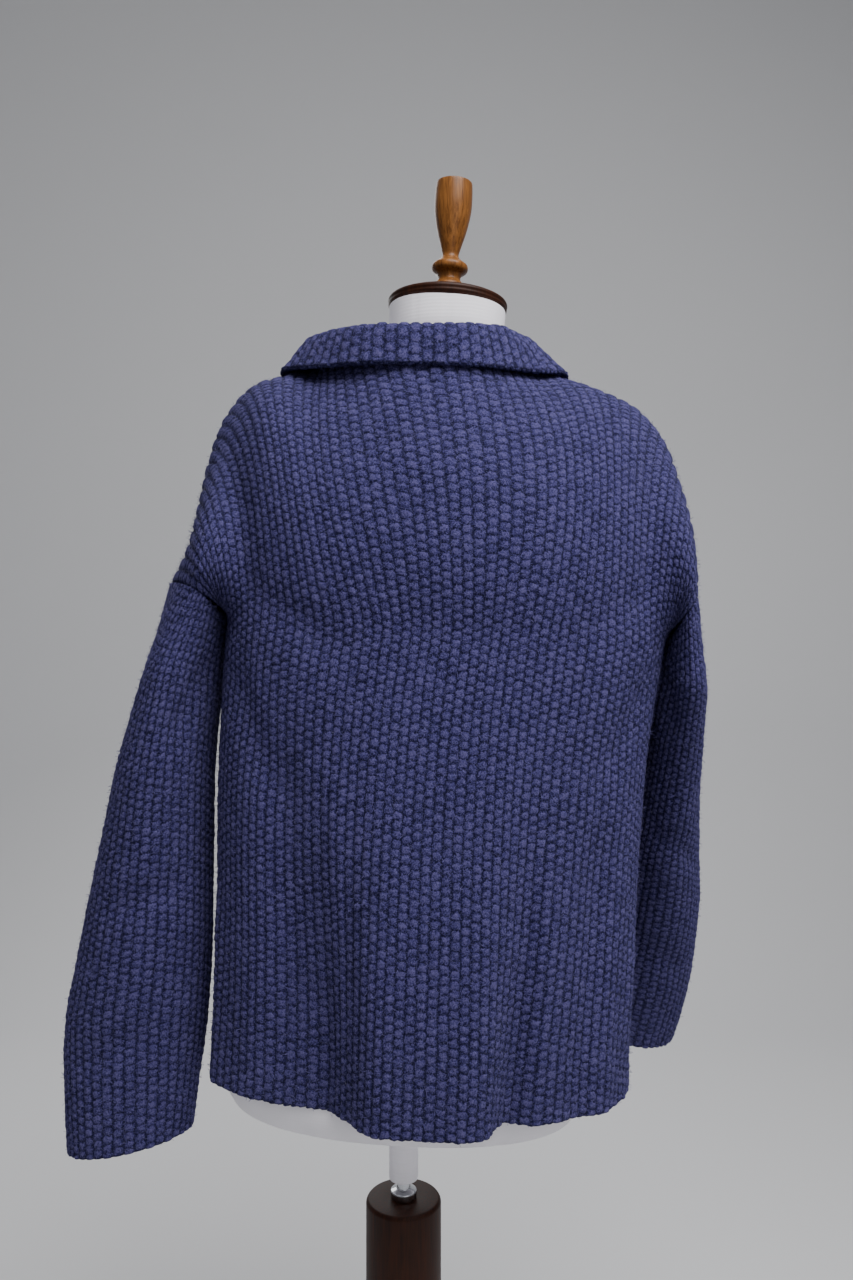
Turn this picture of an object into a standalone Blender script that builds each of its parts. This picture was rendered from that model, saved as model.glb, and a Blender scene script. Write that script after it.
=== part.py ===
"""Button-up cardigan in thick moss stitch, worn by a limbless dress form on a pole stand.

Metres, +Z up, the floor at z = 0 and the pole on the Z axis. The buttoned fronts face -Y,
the back faces +Y, and the wearer's left side is at +X.
"""
import math

import bpy
import numpy as np
from mathutils import Matrix

# Cloth: a thick hand-knit wall, its seams drawn as hair gaps
WALL = 0.005
SEAM_GAP = 0.0003
LEAN = math.radians(3.2)
FORM_FOOT = 0.700

# Body: columns are height, left edge, right edge, back, front of the outer surface
BODY = (
    (0.731, 0.180, -0.212, 0.119, -0.150),
    (0.790, 0.175, -0.213, 0.122, -0.149),
    (0.870, 0.173, -0.217, 0.125, -0.147),
    (0.960, 0.174, -0.222, 0.127, -0.146),
    (1.050, 0.171, -0.230, 0.128, -0.146),
    (1.145, 0.165, -0.246, 0.127, -0.146),
)
HEM = BODY[0][0]
UNDERARM = BODY[-1][0]
SQUARENESS = 2.5
RING_STEPS = 240

# Folds: columns are start and end as shares of the panel's width from the wearer's left,
# the widths of the two flanks, the lift at the hem, and the height where the fold is gone
BACK_FOLDS = (
    (0.425, 0.585, 0.050, 0.060, 0.034, 1.16),
    (0.330, 0.350, 0.060, 0.050, -0.005, 1.10),
    (0.640, 0.650, 0.050, 0.050, -0.004, 1.00),
    (0.720, 0.800, 0.060, 0.060, 0.006, 0.98),
    (0.130, 0.200, 0.060, 0.070, 0.005, 0.98),
)
FRONT_FOLDS = (
    (0.170, 0.230, 0.070, 0.080, 0.014, 1.05),
    (0.330, 0.360, 0.060, 0.050, -0.006, 1.00),
    (0.740, 0.810, 0.080, 0.060, 0.016, 1.08),
)

# Shoulder ridge from the neck out over the arm, in the leaning frame of the form:
# columns are distance out from the form's axis and height above the form's foot
SHOULDER_LEFT = (
    (0.080, 0.701), (0.120, 0.691), (0.150, 0.682), (0.175, 0.673), (0.194, 0.660),
    (0.206, 0.640), (0.2165, 0.612), (0.2235, 0.580), (0.229, 0.545), (0.236, 0.508),
    (0.250, 0.476),
)
SHOULDER_RIGHT = (
    (0.070, 0.704), (0.120, 0.691), (0.150, 0.682), (0.178, 0.672), (0.200, 0.658),
    (0.216, 0.636), (0.229, 0.606), (0.240, 0.570), (0.246, 0.536), (0.252, 0.490),
)

# Neckline: a loose ring that has slipped towards the wearer's left
NECK_CENTRE = (-0.0165, -0.002)
NECK_HALF_WIDTH = 0.100
NECK_BACK = 0.084
NECK_FRONT = 0.102
NECK_ROUNDNESS = 2.7
NECK_BACK_DROP = 0.008
NECK_FRONT_DROP = 0.052
NECK_SHARE = 0.34
NECK_SPREAD = 0.020

# Upper body: how far the armhole bulges to the back and front, and the crease beside it
ARMHOLE_BULGE = 0.078
ARMHOLE_ROUNDNESS = 0.85
CREASE_AT = 0.70
CREASE_WIDTH = 0.075
CREASE_DEPTH = 0.016
UNDERARM_CLEARANCE = 0.0020
TIP_TURN = 0.28

# Fronts: the wearer's right laps over the left
LAP_SHARE = 0.030
LAP_BLEND = 0.090
LAP_LIFT = 0.0057

# Sleeves: columns are share of the way down, height, x, y, half width, half depth, turn in
# degrees of the outer surface; the first rows are the armhole itself
SLEEVE_LEFT = (
    (0.12, 1.110, 0.2070, 0.004, 0.0335, 0.077, 0),
    (0.30, 1.021, 0.2250, 0.006, 0.0430, 0.068, 0),
    (0.46, 0.936, 0.2350, 0.006, 0.0520, 0.059, 0),
    (0.64, 0.842, 0.2450, 0.008, 0.0615, 0.049, 0),
    (0.78, 0.771, 0.2535, 0.010, 0.0660, 0.042, 0),
    (0.89, 0.717, 0.2565, 0.012, 0.0620, 0.037, 4),
    (1.00, 0.665, 0.2575, 0.014, 0.0575, 0.034, 6),
)
SLEEVE_RIGHT = (
    (0.12, 1.090, -0.2620, -0.008, 0.0222, 0.078, 0),
    (0.30, 1.012, -0.2645, -0.043, 0.0275, 0.067, 0),
    (0.46, 0.928, -0.2665, -0.080, 0.0340, 0.064, 4),
    (0.64, 0.843, -0.2695, -0.114, 0.0415, 0.056, 8),
    (0.78, 0.778, -0.2680, -0.140, 0.0440, 0.050, 12),
    (0.89, 0.733, -0.2645, -0.158, 0.0430, 0.047, 14),
    (1.00, 0.691, -0.2600, -0.175, 0.0400, 0.046, 16),
)
CUFF_SLANT_LEFT = 0.010
CUFF_SLANT_RIGHT = 0.004
SLEEVE_CREASES = (
    # around the sleeve as a share of a turn, width, depth, first and last share of the way down
    (0.16, 0.07, 0.0045, 0.15, 0.75),
    (0.62, 0.08, 0.0050, 0.35, 0.95),
)

# Collar: columns are the place round the neck (0 back, 1 left side, 2 and -2 front), stand,
# fold, fall, and how steeply the fall drops in degrees
COLLAR = (
    (-2.0, 0.014, 0.025, 0.036, 36),
    (-1.5, 0.015, 0.025, 0.038, 36),
    (-1.0, 0.017, 0.024, 0.042, 42),
    (-0.5, 0.016, 0.022, 0.033, 72),
    (0.0, 0.014, 0.020, 0.027, 86),
    (0.5, 0.013, 0.025, 0.027, 74),
    (1.0, 0.012, 0.036, 0.026, 52),
    (1.5, 0.015, 0.028, 0.033, 32),
    (2.0, 0.014, 0.025, 0.036, 36),
)
COLLAR_CALM = 3
COLLAR_SEAM_GAP = 0.0014
COLLAR_BEND = 0.4
COLLAR_OPENING = 0.095
COLLAR_WALL = 0.005

# Buttons: five plain ones down the lapped edge
BUTTON_COUNT = 5
BUTTON_RADIUS = 0.0135
BUTTON_THICK = 0.0042
BUTTON_TOP_HEIGHT = 1.285
BUTTON_PITCH = 0.112
BUTTON_CLEARANCE = 0.0008

# Dress form in its leaning frame: columns are height, half width, back, front
TORSO = (
    (0.000, 0.164, 0.103, 0.103), (0.010, 0.170, 0.108, 0.108), (0.090, 0.170, 0.110, 0.112),
    (0.180, 0.160, 0.104, 0.108), (0.280, 0.135, 0.085, 0.095), (0.360, 0.138, 0.085, 0.105),
    (0.440, 0.152, 0.092, 0.118), (0.510, 0.160, 0.094, 0.122), (0.570, 0.170, 0.086, 0.102),
    (0.619, 0.180, 0.066, 0.078), (0.646, 0.182, 0.050, 0.056), (0.662, 0.172, 0.038, 0.042),
    (0.673, 0.152, 0.029, 0.031), (0.680, 0.118, 0.026, 0.028), (0.687, 0.082, 0.030, 0.032),
    (0.697, 0.063, 0.042, 0.044), (0.714, 0.058, 0.054, 0.055), (0.750, 0.0575, 0.0575, 0.0575),
)
TORSO_SQUARENESS = 2.3
TORSO_SIDES = 32

# Neck cap and finial: radius and height above the top of the form, worked as turned wood
CAP_RADIUS = 0.0575
CAP_THICK = 0.012
FINIAL_FOOT_RADIUS = 0.017

# Stand
POLE_SLEEVE_RADIUS = 0.0142
POLE_SLEEVE_FOOT = 0.618
ROD_RADIUS = 0.0065
ROD_FOOT = 0.260
ROD_COLLAR_RADIUS = 0.0125
COLUMN_RADIUS = 0.036
COLUMN_TOP = 0.600
BORE_RADIUS = 0.0075
BORE_DEPTH = 0.400
BASE_RADIUS = 0.200
BASE_THICK = 0.028
TURNED_STEPS = 32

# Mesh steps
SHOULDER_COLUMNS = 8
NECK_COLUMNS = 4
LOWER_ROWS = 12
UPPER_ROWS = 10
SLEEVE_ROWS = 15
COLLAR_STATIONS = 34
COLLAR_STEPS = 9


# Small helpers
def smooth(share):
    share = np.clip(share, 0, 1)
    return share * share * (3 - 2 * share)


def through(table, at):
    """The table's other columns at places in its first column, on a smooth curve."""
    rows = np.array(table, float)
    keys, values = rows[:, 0], rows[:, 1:]
    slopes = np.gradient(values, keys, axis=0)
    at = np.clip(np.asarray(at, float), keys[0], keys[-1])
    i = np.clip(np.searchsorted(keys, at, side="right") - 1, 0, len(keys) - 2)
    step = (keys[i + 1] - keys[i])[..., None]
    t = ((at - keys[i]) / (keys[i + 1] - keys[i]))[..., None]
    return (
        (2 * t**3 - 3 * t**2 + 1) * values[i]
        + (t**3 - 2 * t**2 + t) * step * slopes[i]
        + (3 * t**2 - 2 * t**3) * values[i + 1]
        + (t**3 - t**2) * step * slopes[i + 1]
    )


def evenly(points, shares):
    """Points at even shares of a curve's length."""
    steps = np.linalg.norm(np.diff(points, axis=0), axis=1)
    length = np.concatenate([[0], np.cumsum(steps)])
    wanted = np.asarray(shares, float) * length[-1]
    return np.stack([np.interp(wanted, length, points[:, k]) for k in range(3)], axis=-1)


def unit(vectors):
    return vectors / np.maximum(np.linalg.norm(vectors, axis=-1, keepdims=True), 1e-12)


def leaning(x, y, z):
    """A point of the form's upright frame, in the world."""
    return np.stack([
        x * math.cos(LEAN) - z * math.sin(LEAN),
        y + 0 * x,
        FORM_FOOT + z * math.cos(LEAN) + x * math.sin(LEAN),
    ], axis=-1)


def fold_lift(folds, share, height):
    """How far the folds move a panel's points out."""
    lift = np.zeros_like(share)
    for start, end, flank, end_flank, rise, gone in folds:
        up = np.clip((height - HEM) / (gone - HEM), 0, 1)
        widen = 1 + 1.2 * up
        shape = smooth((share - start + flank * widen) / (flank * widen))
        shape = shape * (1 - smooth((share - end) / (end_flank * widen)))
        lift = lift + rise * (1 - smooth(up)) * shape
    return lift


# Lower body: one ring for each height
def body_half(front, height):
    """Half of the body's ring, from the wearer's left side seam to the right one."""
    left, right, back_depth, front_depth = through(BODY, height)
    depth = front_depth if front else back_depth
    angle = np.linspace(0, math.pi, RING_STEPS)
    power = 2 / SQUARENESS
    x = (left + right) / 2 + (left - right) / 2 * np.sign(np.cos(angle)) * abs(np.cos(angle)) ** power
    y = depth * np.sin(angle).clip(0) ** power
    points = np.stack([x, y, height + 0 * x], axis=-1)
    points = evenly(points, np.linspace(0, 1, RING_STEPS))
    along = unit(np.gradient(points, axis=0))
    out = np.stack([along[:, 1], -along[:, 0], 0 * x], axis=-1) * (-1 if front else 1)
    share = np.linspace(0, 1, RING_STEPS)
    folds = FRONT_FOLDS if front else BACK_FOLDS
    points = points + out * fold_lift(folds, share, height)[:, None]
    points[:, 2] += math.tan(LEAN) * (points[:, 0] - (left + right) / 2)
    return points


def lower(front, shares, rise):
    """Outer points of a panel below the underarm; rise runs from the hem to the underarm."""
    return evenly(body_half(front, HEM + rise * (UNDERARM - HEM)), shares)


# Upper body: panels rise from the underarm ring to the neckline and the shoulder ridge
def neckline(front, turn):
    """The neckline from the wearer's right (turn -1) to the left (1), evenly along it."""
    across = np.linspace(-1, 1, RING_STEPS + 1)
    x = NECK_CENTRE[0] + NECK_HALF_WIDTH * across
    reach = -NECK_FRONT if front else NECK_BACK
    y = NECK_CENTRE[1] + reach * (1 - abs(across) ** NECK_ROUNDNESS)
    side_x, side_z = neck_point(1)
    other_x, other_z = neck_point(-1)
    slope = (side_z - other_z) / (side_x - other_x)
    drop = NECK_FRONT_DROP if front else NECK_BACK_DROP
    z = other_z + slope * (x - other_x) - drop * (1 - across**2)
    return evenly(np.stack([x, y, z], axis=-1), (np.asarray(turn, float) + 1) / 2)


def shoulder_curve(side):
    """The ridge of one shoulder, out from the neck and down over the arm."""
    rows = np.array(SHOULDER_LEFT if side > 0 else SHOULDER_RIGHT)
    place = np.linspace(0, len(rows) - 1, 120)
    keyed = np.column_stack([np.arange(len(rows)), rows])
    out, up = through(keyed, place).T
    return leaning(side * out, 0 * out, up)


def neck_point(side):
    x = NECK_CENTRE[0] + side * NECK_HALF_WIDTH
    ridge = shoulder_curve(side)
    order = np.argsort(ridge[:, 0])
    return x, float(np.interp(x, ridge[order, 0], ridge[order, 2]))


def shoulder_line(side, shares):
    """The shoulder ridge from the neck point to the top of the armhole."""
    x, z = neck_point(side)
    ridge = shoulder_curve(side)
    beyond = ridge[side * ridge[:, 0] > side * x]
    start = np.array([[x, NECK_CENTRE[1], z]])
    return evenly(np.concatenate([start, beyond]), shares)


def top_line(front, shares):
    """The upper edge of a panel, from the left armhole over the neck to the right armhole."""
    reach = 1 - 2 * np.asarray(shares, float)
    points = np.zeros((len(reach), 3))
    for side in (1, -1):
        outer = (side * reach) > NECK_SHARE
        if outer.any():
            share = (side * reach[outer] - NECK_SHARE) / (1 - NECK_SHARE)
            points[outer] = shoulder_line(side, share)
    inner = abs(reach) <= NECK_SHARE
    points[inner] = neckline(front, reach[inner] / NECK_SHARE)
    return points


def upper(front, shares, rise):
    """Outer points of a panel above the underarm; rise runs from 0 to the top edge."""
    foot = lower(front, shares, 1.0)
    top = top_line(front, shares)
    reach = abs(1 - 2 * np.asarray(shares, float))
    arch = smooth(reach / 0.55)[:, None]
    turn = rise * math.pi / 2
    inward = (1 - arch) * rise**2.0 + arch * (1 - math.cos(turn))
    upward = (1 - arch) * rise + arch * math.sin(turn)
    ease = np.concatenate([inward, inward, upward], axis=1)
    points = foot + (top - foot) * ease
    way = -1 if front else 1
    round_off = math.sin(math.pi * min(1, rise)) ** ARMHOLE_ROUNDNESS if 0 < rise < 1 else 0
    bulge = ARMHOLE_BULGE * smooth((reach - 0.58) / 0.42) * round_off
    blade = 0.010 * (1 - reach**2) * math.sin(math.pi * min(1, 1.1 * rise))
    near = np.clip(1 - abs(reach - CREASE_AT) / CREASE_WIDTH, 0, 1)
    crease = CREASE_DEPTH * smooth(near) * math.sin(math.pi * min(1, rise / 0.85)) ** 0.8
    points[:, 1] += way * (bulge + blade - crease)
    spread = smooth(1 - abs(reach - 0.9 * NECK_SHARE) / 0.30) * math.sin(math.pi * rise)
    points[:, 0] += np.sign(0.5 - np.asarray(shares)) * NECK_SPREAD * spread
    return points


def panel_rows(front, shares):
    """A whole panel: rows from the hem up to the shoulders."""
    rows = [lower(front, shares, k / LOWER_ROWS) for k in range(LOWER_ROWS)]
    rows += [upper(front, shares, k / UPPER_ROWS) for k in range(UPPER_ROWS + 1)]
    return np.array(rows)


# Walls between an outer and an inner surface
def grid_normals(grid, flip=1, around=False):
    """Normals of a grid of points, one-sided at its open edges."""
    if around:
        wide = np.concatenate([grid[:, -1:], grid, grid[:, :1]], axis=1)
        across = (wide[:, 2:] - wide[:, :-2]) / 2
    else:
        across = np.gradient(grid, axis=1)
    up = np.gradient(grid, axis=0)
    return unit(np.cross(across, up)) * flip


def even_out(normals, passes=2):
    """Normals averaged with their neighbours, so that the wall's inner side stays smooth."""
    for _ in range(passes):
        calm = normals.copy()
        calm[1:-1] += (normals[:-2] + normals[2:]) / 2
        if normals.shape[1] > 2:
            calm[:, 1:-1] += (normals[:, :-2] + normals[:, 2:]) / 2
        normals = unit(calm)
    return normals


def add_object(name, points, faces, material, home):
    mesh = bpy.data.meshes.new(name)
    mesh.from_pydata([tuple(p) for p in points], [], faces)
    mesh.update()
    mesh.shade_smooth()
    mesh.set_sharp_from_angle(angle=math.radians(50))
    mesh.materials.append(material)
    obj = bpy.data.objects.new(name, mesh)
    home.objects.link(obj)
    return obj


def wall_object(name, outer, inner, material, home, around=False):
    """A closed wall between two grids of points, with a rim along every open edge."""
    rows, columns = outer.shape[:2]
    points = np.concatenate([outer.reshape(-1, 3), inner.reshape(-1, 3)])
    back = rows * columns
    faces = []
    last = columns if around else columns - 1
    for i in range(rows - 1):
        for j in range(last):
            a = i * columns + j
            b = i * columns + (j + 1) % columns
            c, d = b + columns, a + columns
            faces += [(a, b, c, d), (back + d, back + c, back + b, back + a)]
    for j in range(last):
        a, b = j, (j + 1) % columns
        faces.append((a, back + a, back + b, b))
        a, b = a + back - columns, b + back - columns
        faces.append((a, b, back + b, back + a))
    if not around:
        for i in range(rows - 1):
            a, d = i * columns, (i + 1) * columns
            faces.append((a, d, back + d, back + a))
            a, d = a + columns - 1, d + columns - 1
            faces.append((a, back + a, back + d, d))
    obj = add_object(name, points, faces, material, home)
    return turn_out(obj)


def turn_out(obj):
    """Turns the faces of a closed mesh outwards."""
    mesh = obj.data
    mesh.calc_loop_triangles()
    volume = sum(
        mesh.vertices[a].co.dot(mesh.vertices[b].co.cross(mesh.vertices[c].co))
        for a, b, c in (t.vertices for t in mesh.loop_triangles)
    )
    if volume < 0:
        mesh.flip_normals()
    return obj


def pull_edges(grid, step):
    """Draws a panel's sides and top in by step, for the gaps at its seams."""
    grid[:, 0] += unit(grid[:, 1] - grid[:, 0]) * step
    grid[:, -1] += unit(grid[:, -2] - grid[:, -1]) * step
    grid[-1] += unit(grid[-2] - grid[-1]) * step


# Cardigan pieces
def column_shares():
    """Columns of the back, closer together at the neck, with one on each edge of the lap."""
    neck = (1 - NECK_SHARE) / 2
    side = np.linspace(0, neck, SHOULDER_COLUMNS + 1)
    near = np.linspace(neck, 0.5 - LAP_SHARE, NECK_COLUMNS + 1)[1:]
    half = np.concatenate([side, near])
    return np.concatenate([half, [0.5], 1 - half[::-1]])


def lap_lift(shares):
    """How far the wearer's right front stands off where it laps over the left one."""
    return LAP_LIFT * (1 - smooth((shares - 0.5 - LAP_SHARE) / LAP_BLEND))


def body_panels():
    """Outer points and normals of the back and the fronts; rims meet on shared planes."""
    shares = column_shares()
    middle = len(shares) // 2
    parts = {
        "back": (False, slice(None)),
        "front_left": (True, slice(0, middle + 2)),
        "front_right": (True, slice(middle - 1, None)),
    }
    panels = {}
    for name, (front, columns) in parts.items():
        points = panel_rows(front, shares[columns])
        normals = even_out(grid_normals(points, -1 if front else 1))
        panels[name] = [points, normals, shares[columns]]
    back = panels["back"][1]
    seam_rows = slice(0, LOWER_ROWS + 1)
    for name, edge in (("front_left", 0), ("front_right", -1)):
        front = panels[name][1]
        columns = parts[name][1]
        shared = unit(back[seam_rows, edge] + front[seam_rows, edge])
        back[seam_rows, edge] = shared
        front[seam_rows, edge] = shared
        on_shoulder = abs(1 - 2 * shares[columns]) > NECK_SHARE - 1e-6
        shared = unit(back[-1, columns] + front[-1])
        front[-1, on_shoulder] = shared[on_shoulder]
        places = np.arange(len(shares))[columns][on_shoulder]
        back[-1, places] = shared[on_shoulder]
    points, normals, own = panels["front_right"]
    panels["front_right"][0] = points + normals * lap_lift(own)[None, :, None]
    return panels


def armhole(panels, side):
    """Points and normals round an armhole: up its back half, then down its front half."""
    edge = 0 if side > 0 else -1
    front = "front_left" if side > 0 else "front_right"
    ring, out = [], []
    for name, rows in (("back", slice(LOWER_ROWS, None)), (front, slice(-2, LOWER_ROWS, -1))):
        points, normals, _ = panels[name]
        ring.append(points[rows, edge])
        out.append(normals[rows, edge])
    return np.concatenate(ring), np.concatenate(out)


def sleeve_rings(table, slant, side, count):
    """Rings of the sleeve below the armhole, each starting at the side next to the body."""
    angle = np.arange(count) / count * 2 * math.pi
    rings = []
    first = table[0][0]
    for share in np.linspace(first, 1, SLEEVE_ROWS):
        height, x, y, half_width, half_depth, turn = through(table, share)
        across = -half_width * np.cos(angle)
        depth = half_depth * np.sin(angle)
        for place, width, dent, start, end in SLEEVE_CREASES:
            away = abs((angle / (2 * math.pi) - place + 0.5) % 1 - 0.5)
            along = math.sin(math.pi * float(np.clip((share - start) / (end - start), 0, 1)))
            pull = 1 - dent * along * smooth(1 - away / width) / half_depth
            depth = depth * pull
        c, s = math.cos(math.radians(turn)), math.sin(math.radians(turn))
        rise = slant * smooth((share - 0.75) / 0.25) * np.cos(angle)
        rings.append(np.stack([
            x + side * (across * c - depth * s),
            y + across * s + depth * c,
            height + rise,
        ], axis=-1))
    return np.array(rings)


def sleeve_walls(panels, side):
    """Outer and inner rings of a sleeve from the armhole to the cuff."""
    table = SLEEVE_LEFT if side > 0 else SLEEVE_RIGHT
    slant = CUFF_SLANT_LEFT if side > 0 else CUFF_SLANT_RIGHT
    ring, panel_out = armhole(panels, side)
    rings = sleeve_rings(table, slant, side, len(ring))
    angle = np.arange(len(ring)) / len(ring) * 2 * math.pi
    pit = smooth((np.cos(angle) - 0.1) / 0.7)[:, None]
    top = ring + pit * np.array([side * UNDERARM_CLEARANCE, 0, -UNDERARM_CLEARANCE])
    between = top + (rings[0] - top) * 0.5
    outer = np.concatenate([top[None], between[None], rings])
    normals = grid_normals(outer, side, around=True)
    normals[0] = unit(panel_out * (1 - pit) + normals[0] * pit)
    normals[1] = unit(normals[0] + normals[1] + normals[2])
    for _ in range(2):
        beside = np.roll(normals, 1, axis=1) + np.roll(normals, -1, axis=1)
        calm = np.full((len(normals), 1, 1), 0.5)
        calm[0] = 0.12
        normals = unit(normals + beside * calm)
    inner = ease_tips(outer, outer - normals * WALL)
    step = unit(outer[1] - outer[0]) * SEAM_GAP * 1.5
    outer[0] += step
    inner[0] += step
    return outer, inner


def ease_tips(outer, inner):
    """Inner rings drawn in where the outer ring turns so sharply that the wall would cross."""
    ahead = np.roll(outer, -1, axis=1) - outer
    behind = outer - np.roll(outer, 1, axis=1)
    sharp = 1 - np.sum(unit(ahead) * unit(behind), axis=-1, keepdims=True)
    middle = (np.roll(inner, 1, axis=1) + np.roll(inner, -1, axis=1)) / 2
    return inner + (middle - inner) * smooth((sharp - TIP_TURN) / TIP_TURN)


def collar_walls(panels):
    """Outer and inner sections of the collar, swept round the neckline from front to front."""
    turns = collar_turns()
    edges, outs, inwards = [], [], []
    for turn in turns:
        front = abs(turn) > 1
        name = "back" if not front else ("front_left" if turn > 0 else "front_right")
        place = neck_share(turn)
        _, normals, shares = panels[name]
        out = unit(np.array([np.interp(place, shares, normals[-1, :, k]) for k in range(3)]))
        near = top_line(front, [place - 0.002, place, place + 0.002])
        inward = unit(np.cross(out, near[2] - near[0]))
        if np.dot(inward[:2], NECK_CENTRE - near[1][:2]) < 0:
            inward = -inward
        edges.append(near[1])
        outs.append(out)
        inwards.append(inward)
    outs = even_out(np.array(outs)[:, None], COLLAR_CALM)[:, 0]
    inwards = even_out(np.array(inwards)[:, None], COLLAR_CALM)[:, 0]
    stations = []
    for turn, edge, out, inward in zip(turns, edges, outs, inwards):
        lift = lap_lift(neck_share(turn)) if turn < -1 else 0
        start = edge + out * (lift - WALL / 2) + inward * COLLAR_SEAM_GAP
        stand, fold, fall, steep = through(COLLAR, turn)
        flat = unit(np.array([inward[0], inward[1], 0]))
        begin = math.atan2(inward[2], float(np.dot(inward, flat)))
        stations.append(collar_section(start, flat, begin, stand, fold, fall, math.radians(steep)))
    outer = np.array([s[0] for s in stations])
    inner = np.array([s[1] for s in stations])
    return outer, inner


def collar_turns():
    """Places round the neckline: 0 is the back, 2 and -2 the two ends at the front."""
    return np.linspace(2 - COLLAR_OPENING * 2, -2 + COLLAR_OPENING * 2, COLLAR_STATIONS)


def neck_share(turn):
    """The share of a panel's width at a place round the neckline."""
    reach = turn if abs(turn) <= 1 else math.copysign(2 - abs(turn), turn)
    return 0.5 - reach * NECK_SHARE / 2


def collar_section(start, flat, begin, stand, fold, fall, steep):
    """One section of the collar: up the stand, over the fold and down the fall."""
    up = np.array([0.0, 0.0, 1.0])
    length = stand + fold + fall
    steps = np.linspace(0, length, 121)
    upright = math.radians(92)
    bend = stand * COLLAR_BEND
    angle = begin + (upright - begin) * smooth(steps / bend)
    angle = angle + (math.pi + steep - upright) * smooth((steps - stand) / fold)
    ways = np.cos(angle)[:, None] * flat + np.sin(angle)[:, None] * up
    path = np.concatenate([[start], start + np.cumsum((ways[1:] + ways[:-1]) / 2, axis=0) * steps[1]])
    outs = -np.sin(angle)[:, None] * flat + np.cos(angle)[:, None] * up
    picks = np.round(np.concatenate([
        np.linspace(0, stand, 3, endpoint=False),
        np.linspace(stand, stand + fold, COLLAR_STEPS - 5, endpoint=False),
        np.linspace(stand + fold, length, 3),
    ]) / steps[1]).astype(int)
    return (path + outs * COLLAR_WALL / 2)[picks], (path - outs * COLLAR_WALL / 2)[picks]


def build_cardigan(home, wool, horn):
    panels = body_panels()
    sleeves = {"sleeve_left": sleeve_walls(panels, 1), "sleeve_right": sleeve_walls(panels, -1)}
    collar_outer, collar_inner = collar_walls(panels)
    buttons(panels["front_right"], home, horn)
    for name, (points, normals, _) in panels.items():
        inner = points - normals * WALL
        pull_edges(points, SEAM_GAP)
        pull_edges(inner, SEAM_GAP)
        wall_object(name, points, inner, wool, home)
    for name, (outer, inner) in sleeves.items():
        wall_object(name, outer, inner, wool, home, around=True)
    wall_object("collar", collar_outer, collar_inner, wool, home)


def buttons(panel, home, horn):
    """Plain round buttons in a row down the lap, each lying on the wall."""
    points, normals, shares = panel
    column = int(np.argmin(abs(shares - 0.5)))
    line, out = points[:, column], normals[:, column]
    profile = [
        (0.0, BUTTON_THICK * 0.62), (BUTTON_RADIUS * 0.62, BUTTON_THICK * 0.62),
        (BUTTON_RADIUS * 0.74, BUTTON_THICK), (BUTTON_RADIUS * 0.90, BUTTON_THICK),
        (BUTTON_RADIUS, BUTTON_THICK * 0.55), (BUTTON_RADIUS * 0.92, 0.0), (0.0, 0.0),
    ]
    for k in range(BUTTON_COUNT):
        height = BUTTON_TOP_HEIGHT - k * BUTTON_PITCH
        place = [float(np.interp(height, line[:, 2], line[:, axis])) for axis in range(3)]
        way = unit(np.array([np.interp(height, line[:, 2], out[:, axis]) for axis in range(3)]))
        obj = turned(f"button_{k + 1}", profile, horn, home, steps=20)
        side = unit(np.cross([0.0, 0.0, 1.0], way))
        up = np.cross(way, side)
        turn = Matrix([[side[i], up[i], way[i]] for i in range(3)]).to_4x4()
        seat = np.array(place) + way * BUTTON_CLEARANCE
        obj.matrix_world = Matrix.Translation([float(v) for v in seat]) @ turn


# Turned pieces
def turned(name, profile, material, home, steps=TURNED_STEPS, foot=0.0):
    """A profile of radius and height, top to bottom down its outer side, turned round Z."""
    mesh = bpy.data.meshes.new(name)
    mesh.from_pydata([(r, 0, z) for r, z in profile], [(i, i + 1) for i in range(len(profile) - 1)], [])
    mesh.materials.append(material)
    obj = bpy.data.objects.new(name, mesh)
    obj.location.z = foot
    home.objects.link(obj)
    screw = obj.modifiers.new("turn", "SCREW")
    screw.steps = steps
    screw.render_steps = steps
    screw.use_merge_vertices = True
    screw.merge_threshold = 0.00005
    screw.use_smooth_shade = True
    return obj


def torso(home, cloth, tilt):
    """The covered body of the form: level sections lofted from foot to neck."""
    angle = np.arange(TORSO_SIDES) / TORSO_SIDES * 2 * math.pi
    power = 2 / TORSO_SQUARENESS
    c, s = np.cos(angle), np.sin(angle)
    points = []
    for height, half_width, back, front in TORSO:
        depth = np.where(s >= 0, back, front)
        x = half_width * np.sign(c) * abs(c) ** power
        y = depth * np.sign(s) * abs(s) ** power
        points += [(float(a), float(b), height) for a, b in zip(x, y)]
    faces = [tuple(reversed(range(TORSO_SIDES)))]
    for i in range(len(TORSO) - 1):
        for j in range(TORSO_SIDES):
            a = i * TORSO_SIDES + j
            b = i * TORSO_SIDES + (j + 1) % TORSO_SIDES
            faces.append((a, b, b + TORSO_SIDES, a + TORSO_SIDES))
    faces.append(tuple(range((len(TORSO) - 1) * TORSO_SIDES, len(TORSO) * TORSO_SIDES)))
    obj = add_object("torso", points, faces, cloth, home)
    obj.parent = tilt


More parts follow.
